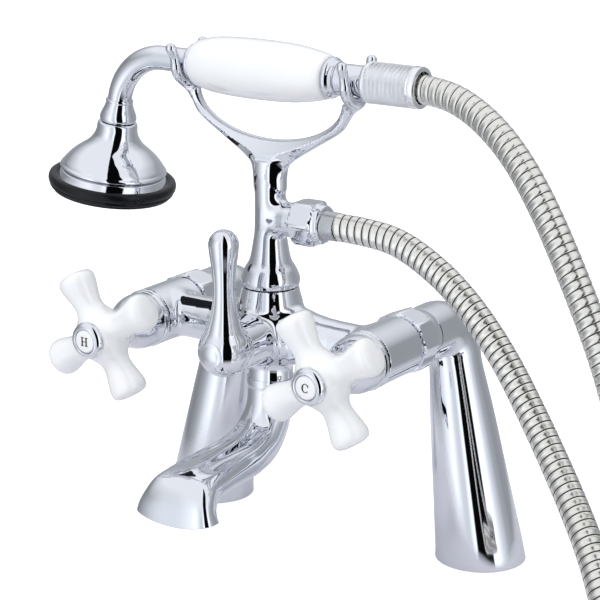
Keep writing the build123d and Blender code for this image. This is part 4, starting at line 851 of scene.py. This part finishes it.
floorFinish.use_nodes = True
tree = floorFinish.node_tree
tree.nodes.clear()
rays = addNode(tree, "ShaderNodeLightPath")
glow = addNode(tree, "ShaderNodeMath", {0: rays.outputs["Is Camera Ray"], 1: studio["floorGlow"]},
               operation="MULTIPLY")
paint = addNode(tree, "ShaderNodeBsdfDiffuse", {"Color": fromHex(studio["floorColour"])})
light = addNode(tree, "ShaderNodeEmission", {"Color": (1, 1, 1, 1), "Strength": glow.outputs[0]})
both = addNode(tree, "ShaderNodeAddShader", {0: paint.outputs[0], 1: light.outputs[0]})
# metal sees the sheet as a small table, and past its edge the studio itself
middle = addNode(tree, "ShaderNodeNewGeometry")
reach = addNode(tree, "ShaderNodeVectorMath", {0: middle.outputs["Position"]}, operation="LENGTH")
edge = addNode(tree, "ShaderNodeMapRange",
               {"Value": reach.outputs["Value"],
                "From Min": studio["tableRadius"] * studio["tableShare"],
                "From Max": studio["tableRadius"]})
pastEdge = addNode(tree, "ShaderNodeMath", {0: edge.outputs["Result"], 1: rays.outputs["Is Glossy Ray"]},
                   operation="MULTIPLY")
clear = addNode(tree, "ShaderNodeBsdfTransparent")
sheet = addNode(tree, "ShaderNodeMixShader",
                {0: pastEdge.outputs[0], 1: both.outputs[0], 2: clear.outputs[0]})
addNode(tree, "ShaderNodeOutputMaterial", {"Surface": sheet.outputs[0]})
floorMesh.materials.append(floorFinish)

world = bpy.data.worlds.new("studioRoom")
scene.world = world
world.use_nodes = True
tree = world.node_tree
tree.nodes.clear()
rays = addNode(tree, "ShaderNodeLightPath")
direction = addNode(tree, "ShaderNodeTexCoord")
axes = addNode(tree, "ShaderNodeSeparateXYZ", {"Vector": direction.outputs["Generated"]})
minusY = addNode(tree, "ShaderNodeMath", {0: axes.outputs["Y"], 1: -1.0}, operation="MULTIPLY")
bearing = addNode(tree, "ShaderNodeMath", {0: axes.outputs["X"], 1: minusY.outputs[0]},
                  operation="ARCTAN2")
# bearing from the camera's own side, wrapped to 0..1 with 0.5 at the camera
turns = addNode(tree, "ShaderNodeMath", {0: bearing.outputs[0], 1: 1 / (2 * math.pi),
                                         2: 0.5 - cameraView["azimuth"] / 360}, operation="MULTIPLY_ADD")
wrapped = addNode(tree, "ShaderNodeMath", {0: turns.outputs[0], 1: 1.0}, operation="FLOORED_MODULO")
ramp = addNode(tree, "ShaderNodeValToRGB", {"Fac": wrapped.outputs[0]})
stops = ramp.color_ramp.elements
for number, (degrees, value) in enumerate(studio["walls"]):
    place = (degrees + 180) / 360
    stop = stops[number] if number < 2 else stops.new(place)
    stop.position = place
    stop.color = (*(value * share for share in studio["wallTint"]), 1)
ceiling, ground = (addNode(tree, "ShaderNodeMapRange", {"Value": axes.outputs["Z"],
                                                        "From Min": studio[zone][0],
                                                        "From Max": studio[zone][1]})
                   for zone in ("ceiling", "ground"))
# the black flag reaches up past the wall, over the ceiling
unflagged = addNode(tree, "ShaderNodeMath", {0: ramp.outputs["Color"], 1: studio["flagBelow"]},
                    operation="GREATER_THAN")
overhead = addNode(tree, "ShaderNodeMath", {0: ceiling.outputs["Result"], 1: unflagged.outputs[0]},
                   operation="MULTIPLY")
upper = addNode(tree, "ShaderNodeMix", {"Factor": overhead.outputs[0], "A": ramp.outputs["Color"],
                                        "B": studio["ceilingColour"]}, data_type="RGBA")
room = addNode(tree, "ShaderNodeMix", {"Factor": ground.outputs["Result"],
                                       "A": upper.outputs["Result"],
                                       "B": studio["groundColour"]}, data_type="RGBA")
backdrop = addNode(tree, "ShaderNodeMix", {"Factor": rays.outputs["Is Camera Ray"],
                                           "A": room.outputs["Result"],
                                           "B": (1, 1, 1, 1)}, data_type="RGBA")
shine = addNode(tree, "ShaderNodeBackground", {"Color": backdrop.outputs["Result"], "Strength": 1.0})
addNode(tree, "ShaderNodeOutputWorld", {"Surface": shine.outputs[0]})

for part in ("key", "fill"):
    lampData = bpy.data.lights.new(f"{part}Lamp", "AREA")
    lampData.energy = studio[f"{part}Power"]
    lampData.size = studio[f"{part}Size"]
    lamp = linked(f"{part}Lamp", lampData)
    lamp.location = studio[f"{part}Place"]
    # the room's walls alone draw the highlights
    lamp.visible_glossy = False
    aim = Vector(cameraView["target"]) - Vector(lamp.location)
    lamp.rotation_euler = aim.to_track_quat("-Z", "Y").to_euler()
print("studio lit")
